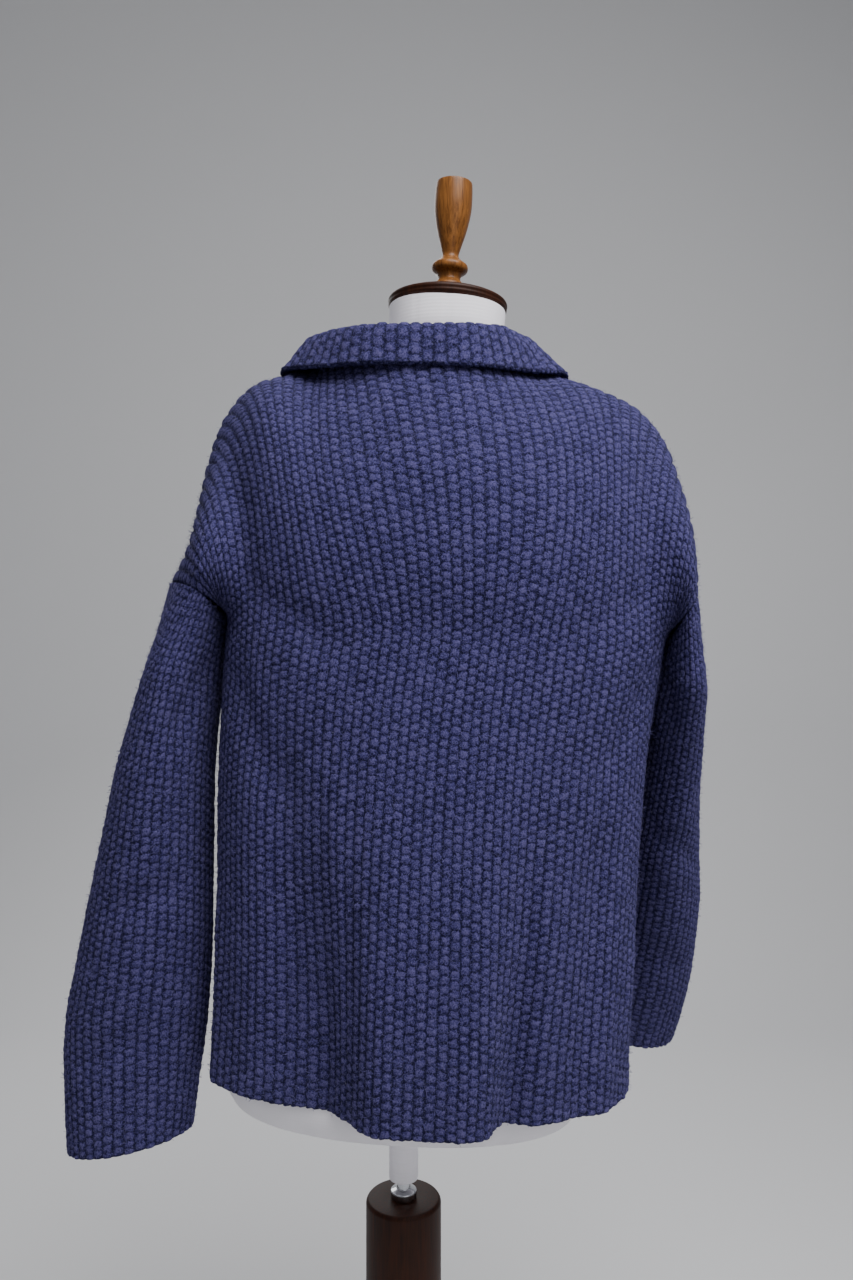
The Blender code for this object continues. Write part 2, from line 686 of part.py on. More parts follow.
def neck_cap_and_finial(home, wood, tilt):
    top = TORSO[-1][0] + SEAM_GAP
    cap = [
        (0.0, CAP_THICK), (CAP_RADIUS * 0.93, CAP_THICK), (CAP_RADIUS, CAP_THICK * 0.7),
        (CAP_RADIUS, CAP_THICK * 0.3), (CAP_RADIUS * 0.95, 0.0), (0.0, 0.0),
    ]
    turned("neck_cap", cap, wood, home, foot=top).parent = tilt
    foot = FINIAL_FOOT_RADIUS
    finial = [
        (0.0, 0.1125), (0.0160, 0.1125), (0.0175, 0.1105), (0.0181, 0.098), (0.0176, 0.084),
        (0.0142, 0.066), (0.0096, 0.050), (0.0080, 0.042), (0.0120, 0.037), (foot, 0.033),
        (foot, 0.028), (0.0120, 0.024), (0.0110, 0.019), (0.0150, 0.014), (foot, 0.008),
        (foot, 0.0), (0.0, 0.0),
    ]
    turned("finial", finial, wood, home, steps=24, foot=top + CAP_THICK + SEAM_GAP).parent = tilt


def stand(home, cloth, chrome, wood):
    """The pole under the form, the turned column that it slides in, and a plain round base."""
    tube = POLE_SLEEVE_RADIUS
    bottom = FORM_FOOT - tube * math.sin(LEAN) - SEAM_GAP
    turned("pole_sleeve", [
        (0.0, bottom), (tube, bottom), (tube, POLE_SLEEVE_FOOT + 0.004),
        (tube * 0.9, POLE_SLEEVE_FOOT), (0.0, POLE_SLEEVE_FOOT),
    ], cloth, home, steps=24)
    top = POLE_SLEEVE_FOOT - SEAM_GAP
    rest = COLUMN_TOP + SEAM_GAP
    turned("pole_rod", [
        (0.0, top), (ROD_RADIUS, top), (ROD_RADIUS, rest + 0.009), (ROD_COLLAR_RADIUS, rest + 0.007),
        (ROD_COLLAR_RADIUS, rest), (ROD_RADIUS, rest), (ROD_RADIUS, ROD_FOOT), (0.0, ROD_FOOT),
    ], chrome, home, steps=24)
    foot = BASE_THICK + SEAM_GAP
    turned("column", [
        (0.0, COLUMN_TOP - BORE_DEPTH), (BORE_RADIUS, COLUMN_TOP - BORE_DEPTH),
        (BORE_RADIUS, COLUMN_TOP), (COLUMN_RADIUS - 0.004, COLUMN_TOP),
        (COLUMN_RADIUS, COLUMN_TOP - 0.004), (COLUMN_RADIUS, foot), (0.0, foot),
    ], wood, home)
    turned("base", [
        (0.0, BASE_THICK), (BASE_RADIUS - 0.012, BASE_THICK), (BASE_RADIUS - 0.003, BASE_THICK - 0.004),
        (BASE_RADIUS, BASE_THICK - 0.012), (BASE_RADIUS, 0.002), (BASE_RADIUS - 0.002, 0.0), (0.0, 0.0),
    ], wood, home, steps=40)


def material(name, colour, roughness, metallic=0.0):
    made = bpy.data.materials.new(name)
    made.use_nodes = True
    shader = made.node_tree.nodes["Principled BSDF"]
    shader.inputs["Base Color"].default_value = (*colour, 1.0)
    shader.inputs["Roughness"].default_value = roughness
    shader.inputs["Metallic"].default_value = metallic
    return made


def main():
    for obj in list(bpy.data.objects):
        bpy.data.objects.remove(obj, do_unlink=True)
    home = bpy.data.collections.new("button_up_cardigan")
    bpy.context.scene.collection.children.link(home)
    wool = material("blue wool", (0.075, 0.082, 0.205), 0.95)
    linen = material("white form cloth", (0.72, 0.70, 0.72), 0.9)
    walnut = material("dark walnut", (0.055, 0.026, 0.012), 0.4)
    chrome = material("chromed steel", (0.75, 0.75, 0.76), 0.15, 1.0)
    horn = material("dark brown button", (0.030, 0.018, 0.012), 0.35)
    tilt = bpy.data.objects.new("form_tilt", None)
    tilt.location.z = FORM_FOOT
    tilt.rotation_euler.y = -LEAN
    home.objects.link(tilt)
    build_cardigan(home, wool, horn)
    torso(home, linen, tilt)
    neck_cap_and_finial(home, walnut, tilt)
    stand(home, linen, chrome, walnut)


main()
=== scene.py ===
# Looks of a thick moss-stitch cardigan worn by a limbless dress form on a column stand.
# Metres, +Z up, the floor at z = 0. The buttoned fronts face -Y, the back faces +Y, and the
# wearer's left side is at +X. The knitted walls follow the same tables as the part's solids.
import math

import bmesh
import bpy
import numpy as np
from mathutils import Matrix, Vector


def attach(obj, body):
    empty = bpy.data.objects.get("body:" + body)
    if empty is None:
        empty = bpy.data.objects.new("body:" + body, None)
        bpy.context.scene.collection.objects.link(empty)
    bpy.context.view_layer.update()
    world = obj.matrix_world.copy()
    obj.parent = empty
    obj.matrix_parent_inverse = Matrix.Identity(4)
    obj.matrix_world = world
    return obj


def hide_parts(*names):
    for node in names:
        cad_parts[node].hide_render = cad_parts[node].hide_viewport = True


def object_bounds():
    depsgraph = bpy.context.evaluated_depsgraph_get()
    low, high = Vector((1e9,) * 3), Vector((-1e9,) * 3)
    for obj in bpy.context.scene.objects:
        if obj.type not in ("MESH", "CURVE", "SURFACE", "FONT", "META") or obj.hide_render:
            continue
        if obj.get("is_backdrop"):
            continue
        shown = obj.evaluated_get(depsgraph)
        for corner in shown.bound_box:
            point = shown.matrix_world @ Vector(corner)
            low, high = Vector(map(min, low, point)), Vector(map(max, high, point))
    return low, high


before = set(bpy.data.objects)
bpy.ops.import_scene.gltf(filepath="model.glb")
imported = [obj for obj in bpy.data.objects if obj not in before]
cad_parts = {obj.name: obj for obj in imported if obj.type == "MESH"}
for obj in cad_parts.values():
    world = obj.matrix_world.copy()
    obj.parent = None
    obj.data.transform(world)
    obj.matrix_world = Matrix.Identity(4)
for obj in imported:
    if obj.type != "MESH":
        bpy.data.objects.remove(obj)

bl_info = {
    "name": "Moss-stitch cardigan",
    "version": (1, 0, 0),
    "blender": (4, 5, 0),
    "location": "3D View > Sidebar > Cardigan",
    "description": "Knitted walls, buttons, dress form, stand and studio for one cardigan",
    "category": "Object",
}

# Cloth: a thick hand-knit wall, its seams drawn as hair gaps
WALL = 0.005
SEAM_GAP = 0.0003
LEAN = math.radians(3.2)
FORM_FOOT = 0.700

# Body: columns are height, left edge, right edge, back, front of the outer surface
BODY = (
    (0.731, 0.180, -0.212, 0.119, -0.150),
    (0.790, 0.175, -0.213, 0.122, -0.149),
    (0.870, 0.173, -0.217, 0.125, -0.147),
    (0.960, 0.174, -0.222, 0.127, -0.146),
    (1.050, 0.171, -0.230, 0.128, -0.146),
    (1.145, 0.165, -0.246, 0.127, -0.146),
)
HEM = BODY[0][0]
UNDERARM = BODY[-1][0]
SQUARENESS = 2.5
RING_STEPS = 240

# Folds: columns are start and end as shares of the panel's width from the wearer's left,
# the widths of the two flanks, the lift at the hem, and the height where the fold is gone
BACK_FOLDS = (
    (0.425, 0.585, 0.050, 0.060, 0.034, 1.16),
    (0.330, 0.350, 0.060, 0.050, -0.005, 1.10),
    (0.640, 0.650, 0.050, 0.050, -0.004, 1.00),
    (0.720, 0.800, 0.060, 0.060, 0.006, 0.98),
    (0.130, 0.200, 0.060, 0.070, 0.005, 0.98),
)
FRONT_FOLDS = (
    (0.170, 0.230, 0.070, 0.080, 0.014, 1.05),
    (0.330, 0.360, 0.060, 0.050, -0.006, 1.00),
    (0.740, 0.810, 0.080, 0.060, 0.016, 1.08),
)

# Shoulder ridge from the neck out over the arm, in the leaning frame of the form:
# columns are distance out from the form's axis and height above the form's foot
SHOULDER_LEFT = (
    (0.080, 0.701), (0.120, 0.691), (0.150, 0.682), (0.175, 0.673), (0.194, 0.660),
    (0.206, 0.640), (0.2165, 0.612), (0.2235, 0.580), (0.229, 0.545), (0.236, 0.508),
    (0.250, 0.476),
)
SHOULDER_RIGHT = (
    (0.070, 0.704), (0.120, 0.691), (0.150, 0.682), (0.178, 0.672), (0.200, 0.658),
    (0.216, 0.636), (0.229, 0.606), (0.240, 0.570), (0.246, 0.536), (0.252, 0.490),
)

# Neckline: a loose ring that has slipped towards the wearer's left
NECK_CENTRE = (-0.0165, -0.002)
NECK_HALF_WIDTH = 0.100
NECK_BACK = 0.084
NECK_FRONT = 0.102
NECK_ROUNDNESS = 2.7
NECK_BACK_DROP = 0.008
NECK_FRONT_DROP = 0.052
NECK_SHARE = 0.34
NECK_SPREAD = 0.020
SPREAD_AT = 0.9 * NECK_SHARE
SPREAD_REACH = 0.30

# Upper body: how far the armhole bulges to the back and front, and the crease beside it
ARMHOLE_BULGE = 0.078
ARMHOLE_ROUNDNESS = 0.85
CREASE_AT = 0.70
CREASE_WIDTH = 0.075
CREASE_DEPTH = 0.016
CREASE_TOP = 0.85
UNDERARM_CLEARANCE = 0.0020
TIP_TURN = 0.28
# Shares of a panel's half width where its rise is a full arch and where the bulge begins, and
# how far the shoulder blades lift the middle
ARCH_REACH = 0.55
BULGE_FROM = 0.58
BLADE_LIFT = 0.010

# Fronts: the wearer's right laps over the left
LAP_SHARE = 0.030
LAP_BLEND = 0.090
LAP_LIFT = 0.0057

# Sleeves: columns are share of the way down, height, x, y, half width, half depth, turn in
# degrees of the outer surface; the first rows are the armhole itself
SLEEVE_LEFT = (
    (0.12, 1.110, 0.2070, 0.004, 0.0335, 0.077, 0),
    (0.30, 1.021, 0.2250, 0.006, 0.0430, 0.068, 0),
    (0.46, 0.936, 0.2350, 0.006, 0.0520, 0.059, 0),
    (0.64, 0.842, 0.2450, 0.008, 0.0615, 0.049, 0),
    (0.78, 0.771, 0.2535, 0.010, 0.0660, 0.042, 0),
    (0.89, 0.717, 0.2565, 0.012, 0.0620, 0.037, 4),
    (1.00, 0.665, 0.2575, 0.014, 0.0575, 0.034, 6),
)
SLEEVE_RIGHT = (
    (0.12, 1.090, -0.2620, -0.008, 0.0222, 0.078, 0),
    (0.30, 1.012, -0.2645, -0.043, 0.0275, 0.067, 0),
    (0.46, 0.928, -0.2665, -0.080, 0.0340, 0.064, 4),
    (0.64, 0.843, -0.2695, -0.114, 0.0415, 0.056, 8),
    (0.78, 0.778, -0.2680, -0.140, 0.0440, 0.050, 12),
    (0.89, 0.733, -0.2645, -0.158, 0.0430, 0.047, 14),
    (1.00, 0.691, -0.2600, -0.175, 0.0400, 0.046, 16),
)
CUFF_SLANT_LEFT = 0.010
CUFF_SLANT_RIGHT = 0.004
# The slant of the cuff begins at this share of the way down
SLANT_FROM = 0.75
# At the underarm the sleeve takes its own way out over this part of its ring, and the rest of
# its first ring is evened out only this much, so that it keeps to the armhole
PIT_FROM = 0.1
PIT_BLEND = 0.7
ROOT_CALM = 0.12
SLEEVE_CREASES = (
    # around the sleeve as a share of a turn, width, depth, first and last share of the way down
    (0.16, 0.07, 0.0045, 0.15, 0.75),
    (0.62, 0.08, 0.0050, 0.35, 0.95),
)

# Collar: columns are the place round the neck (0 back, 1 left side, 2 and -2 front), stand,
# fold, fall, and how steeply the fall drops in degrees
COLLAR = (
    (-2.0, 0.014, 0.025, 0.036, 36),
    (-1.5, 0.015, 0.025, 0.038, 36),
    (-1.0, 0.017, 0.024, 0.042, 42),
    (-0.5, 0.016, 0.022, 0.033, 72),
    (0.0, 0.014, 0.020, 0.027, 86),
    (0.5, 0.013, 0.025, 0.027, 74),
    (1.0, 0.012, 0.036, 0.026, 52),
    (1.5, 0.015, 0.028, 0.033, 32),
    (2.0, 0.014, 0.025, 0.036, 36),
)
COLLAR_CALM = 3
COLLAR_SEAM_GAP = 0.0014
COLLAR_BEND = 0.4
COLLAR_UPRIGHT = math.radians(92)
COLLAR_OPENING = 0.095
COLLAR_WALL = 0.005

# Dress form in its leaning frame: columns are height, half width, back, front
TORSO = (
    (0.000, 0.164, 0.103, 0.103), (0.010, 0.170, 0.108, 0.108), (0.090, 0.170, 0.110, 0.112),
    (0.180, 0.160, 0.104, 0.108), (0.280, 0.135, 0.085, 0.095), (0.360, 0.138, 0.085, 0.105),
    (0.440, 0.152, 0.092, 0.118), (0.510, 0.160, 0.094, 0.122), (0.570, 0.170, 0.086, 0.102),
    (0.619, 0.180, 0.066, 0.078), (0.646, 0.182, 0.050, 0.056), (0.662, 0.172, 0.038, 0.042),
    (0.673, 0.152, 0.029, 0.031), (0.680, 0.118, 0.026, 0.028), (0.687, 0.082, 0.030, 0.032),
    (0.697, 0.063, 0.042, 0.044), (0.714, 0.058, 0.054, 0.055), (0.750, 0.0575, 0.0575, 0.0575),
)
TORSO_SQUARENESS = 2.3
# Above this height the cloth rests on the shoulders; below it, creases stay clear of the form
SHOULDER_HEIGHT = 0.56
FORM_CLEARANCE = 0.0034

# Neck cap: a turned disc of wood on top of the form
CAP_RADIUS = 0.0575
CAP_THICK = 0.012

# Stand
POLE_SLEEVE_RADIUS = 0.0142
POLE_SLEEVE_FOOT = 0.618
ROD_RADIUS = 0.0065
ROD_FOOT = 0.260
ROD_COLLAR_RADIUS = 0.0125
COLUMN_RADIUS = 0.036
COLUMN_TOP = 0.600
BORE_RADIUS = 0.0075
BORE_DEPTH = 0.400
BASE_RADIUS = 0.200
BASE_THICK = 0.028

# Mesh steps
SHOULDER_COLUMNS = 8
NECK_COLUMNS = 4
LOWER_ROWS = 12
UPPER_ROWS = 10
SLEEVE_ROWS = 15
COLLAR_STATIONS = 34
COLLAR_STEPS = 9

# Buttons, the finial and the form's seams
BUTTON_COUNT = 5
BUTTON_RADIUS = 0.0135
BUTTON_THICK = 0.0042
BUTTON_TOP_HEIGHT = 1.285
BUTTON_PITCH = 0.112
BUTTON_CLEARANCE = 0.0008
BUTTON_HOLES = ((0.0023, 0.0023), (-0.0023, 0.0023), (-0.0023, -0.0023), (0.0023, -0.0023))
BUTTON_HOLE_RADIUS = 0.0011
THREAD_RADIUS = 0.0007
# Half a thread's way over a button: share of a hole's distance out, and height
THREAD_PATH = ((1.0, 0.0004), (0.9, BUTTON_THICK * 0.85), (0.3, BUTTON_THICK * 0.98))
# Columns are radius and height above the neck cap
FINIAL_TOP = 0.1125
FINIAL_PROFILE = (
    (0.0150, 0.1124), (0.0165, 0.1120), (0.0175, 0.1105), (0.0181, 0.098), (0.0176, 0.084),
    (0.0142, 0.066), (0.0096, 0.050), (0.0080, 0.042), (0.0120, 0.037), (0.0170, 0.033),
    (0.0170, 0.028), (0.0120, 0.024), (0.0110, 0.019), (0.0150, 0.014), (0.0170, 0.008),
    (0.0168, 0.0005), (0.0150, 0.0),
)
FORM_SIDES = 128
FORM_SEAMS = (0.0, 0.25, 0.5, 0.75, 0.17, 0.33, 0.67, 0.83)
FORM_SEAM_DEPTH = 0.006
# Heights of the close rows round the form's lower edge
FORM_ROLL = (0.0, 0.001, 0.003, 0.006)
# The cover of the pole gathers in small ripples: their depth, and radians of them a metre
SLEEVE_RIPPLE = 0.0005
SLEEVE_RIPPLES = 700
# The jersey lies this much inside the solid, clear of the smoother knit
FORM_DRAWN_IN = 0.0018
# Stray fibres start this far out from the middle of a wall, near the crowns of the stitches
HAIR_STAND = 0.0036
HAIR_ROWS = 60
HAIR_COLUMNS = 40

# Studio: the floor's near and far edges, the curve up to the backdrop, and its top and half width
FLOOR_NEAR = 4.5
FLOOR_FAR = -1.9
SWEEP_RADIUS = 0.8
BACKDROP_TOP = 4.2
BACKDROP_HALF_WIDTH = 5.0
# The camera stands behind, level with the middle of the back; its lens is in millimetres
CAMERA_PLACE = (-0.022, 0.95, 1.135)
CAMERA_LENS = 27.8


# Small helpers
def smooth(share):
    share = np.clip(share, 0, 1)
    return share * share * (3 - 2 * share)


def through(table, at):
    """The table's other columns at places in its first column, on a smooth curve."""
    rows = np.array(table, float)
    keys, values = rows[:, 0], rows[:, 1:]
    slopes = np.gradient(values, keys, axis=0)
    at = np.clip(np.asarray(at, float), keys[0], keys[-1])
    i = np.clip(np.searchsorted(keys, at, side="right") - 1, 0, len(keys) - 2)
    step = (keys[i + 1] - keys[i])[..., None]
    t = ((at - keys[i]) / (keys[i + 1] - keys[i]))[..., None]
    return (
        (2 * t**3 - 3 * t**2 + 1) * values[i]
        + (t**3 - 2 * t**2 + t) * step * slopes[i]
        + (3 * t**2 - 2 * t**3) * values[i + 1]
        + (t**3 - t**2) * step * slopes[i + 1]
    )


def evenly(points, shares):
    """Points at even shares of a curve's length."""
    steps = np.linalg.norm(np.diff(points, axis=0), axis=1)
    length = np.concatenate([[0], np.cumsum(steps)])
    wanted = np.asarray(shares, float) * length[-1]
    return np.stack([np.interp(wanted, length, points[:, k]) for k in range(3)], axis=-1)


def unit(vectors):
    return vectors / np.maximum(np.linalg.norm(vectors, axis=-1, keepdims=True), 1e-12)


def leaning(x, y, z):
    """A point of the form's upright frame, in the world."""
    return np.stack([
        x * math.cos(LEAN) - z * math.sin(LEAN),
        y + 0 * x,
        FORM_FOOT + z * math.cos(LEAN) + x * math.sin(LEAN),
    ], axis=-1)


def fold_lift(folds, share, height):
    """How far the folds move a panel's points out."""
    lift = np.zeros_like(share)
    for start, end, flank, end_flank, rise, gone in folds:
        up = np.clip((height - HEM) / (gone - HEM), 0, 1)
        widen = 1 + 1.2 * up
        shape = smooth((share - start + flank * widen) / (flank * widen))
        shape = shape * (1 - smooth((share - end) / (end_flank * widen)))
        lift = lift + rise * (1 - smooth(up)) * shape
    return lift


# Lower body: one ring for each height
def body_half(front, height):
    """Half of the body's ring, from the wearer's left side seam to the right one."""
    left, right, back_depth, front_depth = through(BODY, height)
    depth = front_depth if front else back_depth
    angle = np.linspace(0, math.pi, RING_STEPS)
    power = 2 / SQUARENESS
    c = np.cos(angle)
    x = (left + right) / 2 + (left - right) / 2 * np.sign(c) * abs(c) ** power
    y = depth * np.sin(angle).clip(0) ** power
    points = np.stack([x, y, height + 0 * x], axis=-1)
    points = evenly(points, np.linspace(0, 1, RING_STEPS))
    along = unit(np.gradient(points, axis=0))
    out = np.stack([along[:, 1], -along[:, 0], 0 * x], axis=-1) * (-1 if front else 1)
    share = np.linspace(0, 1, RING_STEPS)
    folds = FRONT_FOLDS if front else BACK_FOLDS
    points = points + out * fold_lift(folds, share, height)[:, None]
    points[:, 2] += math.tan(LEAN) * (points[:, 0] - (left + right) / 2)
    return points


def lower(front, shares, rise):
    """Outer points of a panel below the underarm; rise runs from the hem to the underarm."""
    return evenly(body_half(front, HEM + rise * (UNDERARM - HEM)), shares)


# Upper body: panels rise from the underarm ring to the neckline and the shoulder ridge
def neckline(front, turn):
    """The neckline from the wearer's right (turn -1) to the left (1), evenly along it."""
    across = np.linspace(-1, 1, RING_STEPS + 1)
    x = NECK_CENTRE[0] + NECK_HALF_WIDTH * across
    reach = -NECK_FRONT if front else NECK_BACK
    y = NECK_CENTRE[1] + reach * (1 - abs(across) ** NECK_ROUNDNESS)
    side_x, side_z = neck_point(1)
    other_x, other_z = neck_point(-1)
    slope = (side_z - other_z) / (side_x - other_x)
    drop = NECK_FRONT_DROP if front else NECK_BACK_DROP
    z = other_z + slope * (x - other_x) - drop * (1 - across**2)
    return evenly(np.stack([x, y, z], axis=-1), (np.asarray(turn, float) + 1) / 2)


def shoulder_curve(side):
    """The ridge of one shoulder, out from the neck and down over the arm."""
    rows = np.array(SHOULDER_LEFT if side > 0 else SHOULDER_RIGHT)
    place = np.linspace(0, len(rows) - 1, 120)
    keyed = np.column_stack([np.arange(len(rows)), rows])
    out, up = through(keyed, place).T
    return leaning(side * out, 0 * out, up)


def neck_point(side):
    x = NECK_CENTRE[0] + side * NECK_HALF_WIDTH
    ridge = shoulder_curve(side)
    order = np.argsort(ridge[:, 0])
    return x, float(np.interp(x, ridge[order, 0], ridge[order, 2]))


def shoulder_line(side, shares):
    """The shoulder ridge from the neck point to the top of the armhole."""
    x, z = neck_point(side)
    ridge = shoulder_curve(side)
    beyond = ridge[side * ridge[:, 0] > side * x]
    start = np.array([[x, NECK_CENTRE[1], z]])
    return evenly(np.concatenate([start, beyond]), shares)


def top_line(front, shares):
    """The upper edge of a panel, from the left armhole over the neck to the right armhole."""
    reach = 1 - 2 * np.asarray(shares, float)
    points = np.zeros((len(reach), 3))
    for side in (1, -1):
        outer = (side * reach) > NECK_SHARE
        if outer.any():
            share = (side * reach[outer] - NECK_SHARE) / (1 - NECK_SHARE)
            points[outer] = shoulder_line(side, share)
    inner = abs(reach) <= NECK_SHARE
    points[inner] = neckline(front, reach[inner] / NECK_SHARE)
    return points


def upper(front, shares, rise):
    """Outer points of a panel above the underarm; rise runs from 0 to the top edge."""
    foot = lower(front, shares, 1.0)
    top = top_line(front, shares)
    reach = abs(1 - 2 * np.asarray(shares, float))
    arch = smooth(reach / ARCH_REACH)[:, None]
    turn = rise * math.pi / 2
    inward = (1 - arch) * rise**2.0 + arch * (1 - math.cos(turn))
    upward = (1 - arch) * rise + arch * math.sin(turn)
    ease = np.concatenate([inward, inward, upward], axis=1)
    points = foot + (top - foot) * ease
    way = -1 if front else 1
    round_off = math.sin(math.pi * min(1, rise)) ** ARMHOLE_ROUNDNESS if 0 < rise < 1 else 0
    bulge = ARMHOLE_BULGE * smooth((reach - BULGE_FROM) / (1 - BULGE_FROM)) * round_off
    blade = BLADE_LIFT * (1 - reach**2) * math.sin(math.pi * min(1, 1.1 * rise))
    near = np.clip(1 - abs(reach - CREASE_AT) / CREASE_WIDTH, 0, 1)
    crease = CREASE_DEPTH * smooth(near) * math.sin(math.pi * min(1, rise / CREASE_TOP)) ** 0.8
    points[:, 1] += way * (bulge + blade - crease)
    spread = smooth(1 - abs(reach - SPREAD_AT) / SPREAD_REACH) * math.sin(math.pi * rise)
    points[:, 0] += np.sign(0.5 - np.asarray(shares)) * NECK_SPREAD * spread
    return points


def panel_rows(front, shares):
    """A whole panel: rows from the hem up to the shoulders."""
    rows = [lower(front, shares, k / LOWER_ROWS) for k in range(LOWER_ROWS)]
    rows += [upper(front, shares, k / UPPER_ROWS) for k in range(UPPER_ROWS + 1)]
    return np.array(rows)


# Walls between an outer and an inner surface
def grid_normals(grid, flip=1, around=False):
    """Normals of a grid of points, one-sided at its open edges."""
    if around:
        wide = np.concatenate([grid[:, -1:], grid, grid[:, :1]], axis=1)
        across = (wide[:, 2:] - wide[:, :-2]) / 2
    else:
        across = np.gradient(grid, axis=1)
    up = np.gradient(grid, axis=0)
    return unit(np.cross(across, up)) * flip


def even_out(normals, passes=2):
    """Normals averaged with their neighbours, so that the wall's inner side stays smooth."""
    for _ in range(passes):
        calm = normals.copy()
        calm[1:-1] += (normals[:-2] + normals[2:]) / 2
        if normals.shape[1] > 2:
            calm[:, 1:-1] += (normals[:, :-2] + normals[:, 2:]) / 2
        normals = unit(calm)
    return normals


def pull_edges(grid, step):
    """Draws a panel's sides and top in by step, for the gaps at its seams."""
    grid[:, 0] += unit(grid[:, 1] - grid[:, 0]) * step
    grid[:, -1] += unit(grid[:, -2] - grid[:, -1]) * step
    grid[-1] += unit(grid[-2] - grid[-1]) * step


# Cardigan pieces
def column_shares():
    """Columns of the back, closer together at the neck, with one on each edge of the lap."""
    neck = (1 - NECK_SHARE) / 2
    side = np.linspace(0, neck, SHOULDER_COLUMNS + 1)
    near = np.linspace(neck, 0.5 - LAP_SHARE, NECK_COLUMNS + 1)[1:]
    half = np.concatenate([side, near])
    return np.concatenate([half, [0.5], 1 - half[::-1]])


def lap_lift(shares):
    """How far the wearer's right front stands off where it laps over the left one."""
    return LAP_LIFT * (1 - smooth((shares - 0.5 - LAP_SHARE) / LAP_BLEND))


def body_panels():
    """Outer points and normals of the back and the fronts; rims meet on shared planes."""
    shares = column_shares()
    middle = len(shares) // 2
    parts = {
        "back": (False, slice(None)),
        "front_left": (True, slice(0, middle + 2)),
        "front_right": (True, slice(middle - 1, None)),
    }
    panels = {}
    for name, (front, columns) in parts.items():
        points = panel_rows(front, shares[columns])
        normals = even_out(grid_normals(points, -1 if front else 1))
        panels[name] = [points, normals, shares[columns]]
    back = panels["back"][1]
    seam_rows = slice(0, LOWER_ROWS + 1)
    for name, edge in (("front_left", 0), ("front_right", -1)):
        front = panels[name][1]
        columns = parts[name][1]
        shared = unit(back[seam_rows, edge] + front[seam_rows, edge])
        back[seam_rows, edge] = shared
        front[seam_rows, edge] = shared
        on_shoulder = abs(1 - 2 * shares[columns]) > NECK_SHARE - 1e-6
        shared = unit(back[-1, columns] + front[-1])
        front[-1, on_shoulder] = shared[on_shoulder]
        places = np.arange(len(shares))[columns][on_shoulder]
        back[-1, places] = shared[on_shoulder]
    points, normals, own = panels["front_right"]
    panels["front_right"][0] = points + normals * lap_lift(own)[None, :, None]
    return panels


def armhole(panels, side):
    """Points and normals round an armhole: up its back half, then down its front half."""
    edge = 0 if side > 0 else -1
    front = "front_left" if side > 0 else "front_right"
    ring, out = [], []
    for name, rows in (("back", slice(LOWER_ROWS, None)), (front, slice(-2, LOWER_ROWS, -1))):
        points, normals, _ = panels[name]
        ring.append(points[rows, edge])
        out.append(normals[rows, edge])
    return np.concatenate(ring), np.concatenate(out)


def sleeve_rings(table, slant, side, count):
    """Rings of the sleeve below the armhole, each starting at the side next to the body."""
    angle = np.arange(count) / count * 2 * math.pi
    rings = []
    first = table[0][0]
    for share in np.linspace(first, 1, SLEEVE_ROWS):
        height, x, y, half_width, half_depth, turn = through(table, share)
        across = -half_width * np.cos(angle)
        depth = half_depth * np.sin(angle)
        for place, width, dent, start, end in SLEEVE_CREASES:
            away = abs((angle / (2 * math.pi) - place + 0.5) % 1 - 0.5)
            along = math.sin(math.pi * float(np.clip((share - start) / (end - start), 0, 1)))
            pull = 1 - dent * along * smooth(1 - away / width) / half_depth
            depth = depth * pull
        c, s = math.cos(math.radians(turn)), math.sin(math.radians(turn))
        rise = slant * smooth((share - SLANT_FROM) / (1 - SLANT_FROM)) * np.cos(angle)
        rings.append(np.stack([
            x + side * (across * c - depth * s),
            y + across * s + depth * c,
            height + rise,
        ], axis=-1))
    return np.array(rings)


def sleeve_walls(panels, side):
    """Outer and inner rings of a sleeve from the armhole to the cuff."""
    table = SLEEVE_LEFT if side > 0 else SLEEVE_RIGHT
    slant = CUFF_SLANT_LEFT if side > 0 else CUFF_SLANT_RIGHT
    ring, panel_out = armhole(panels, side)
    rings = sleeve_rings(table, slant, side, len(ring))
    angle = np.arange(len(ring)) / len(ring) * 2 * math.pi
    pit = smooth((np.cos(angle) - PIT_FROM) / PIT_BLEND)[:, None]
    top = ring + pit * np.array([side * UNDERARM_CLEARANCE, 0, -UNDERARM_CLEARANCE])
    between = top + (rings[0] - top) * 0.5
    outer = np.concatenate([top[None], between[None], rings])
    normals = grid_normals(outer, side, around=True)
    normals[0] = unit(panel_out * (1 - pit) + normals[0] * pit)
    normals[1] = unit(normals[0] + normals[1] + normals[2])
    for _ in range(2):
        beside = np.roll(normals, 1, axis=1) + np.roll(normals, -1, axis=1)
        calm = np.full((len(normals), 1, 1), 0.5)
        calm[0] = ROOT_CALM
        normals = unit(normals + beside * calm)
    inner = ease_tips(outer, outer - normals * WALL)
    step = unit(outer[1] - outer[0]) * SEAM_GAP * 1.5
    outer[0] += step
    inner[0] += step
    return outer, inner


def ease_tips(outer, inner):
    """Inner rings drawn in where the outer ring turns so sharply that the wall would cross."""
    ahead = np.roll(outer, -1, axis=1) - outer
    behind = outer - np.roll(outer, 1, axis=1)
    sharp = 1 - np.sum(unit(ahead) * unit(behind), axis=-1, keepdims=True)
    middle = (np.roll(inner, 1, axis=1) + np.roll(inner, -1, axis=1)) / 2
    return inner + (middle - inner) * smooth((sharp - TIP_TURN) / TIP_TURN)


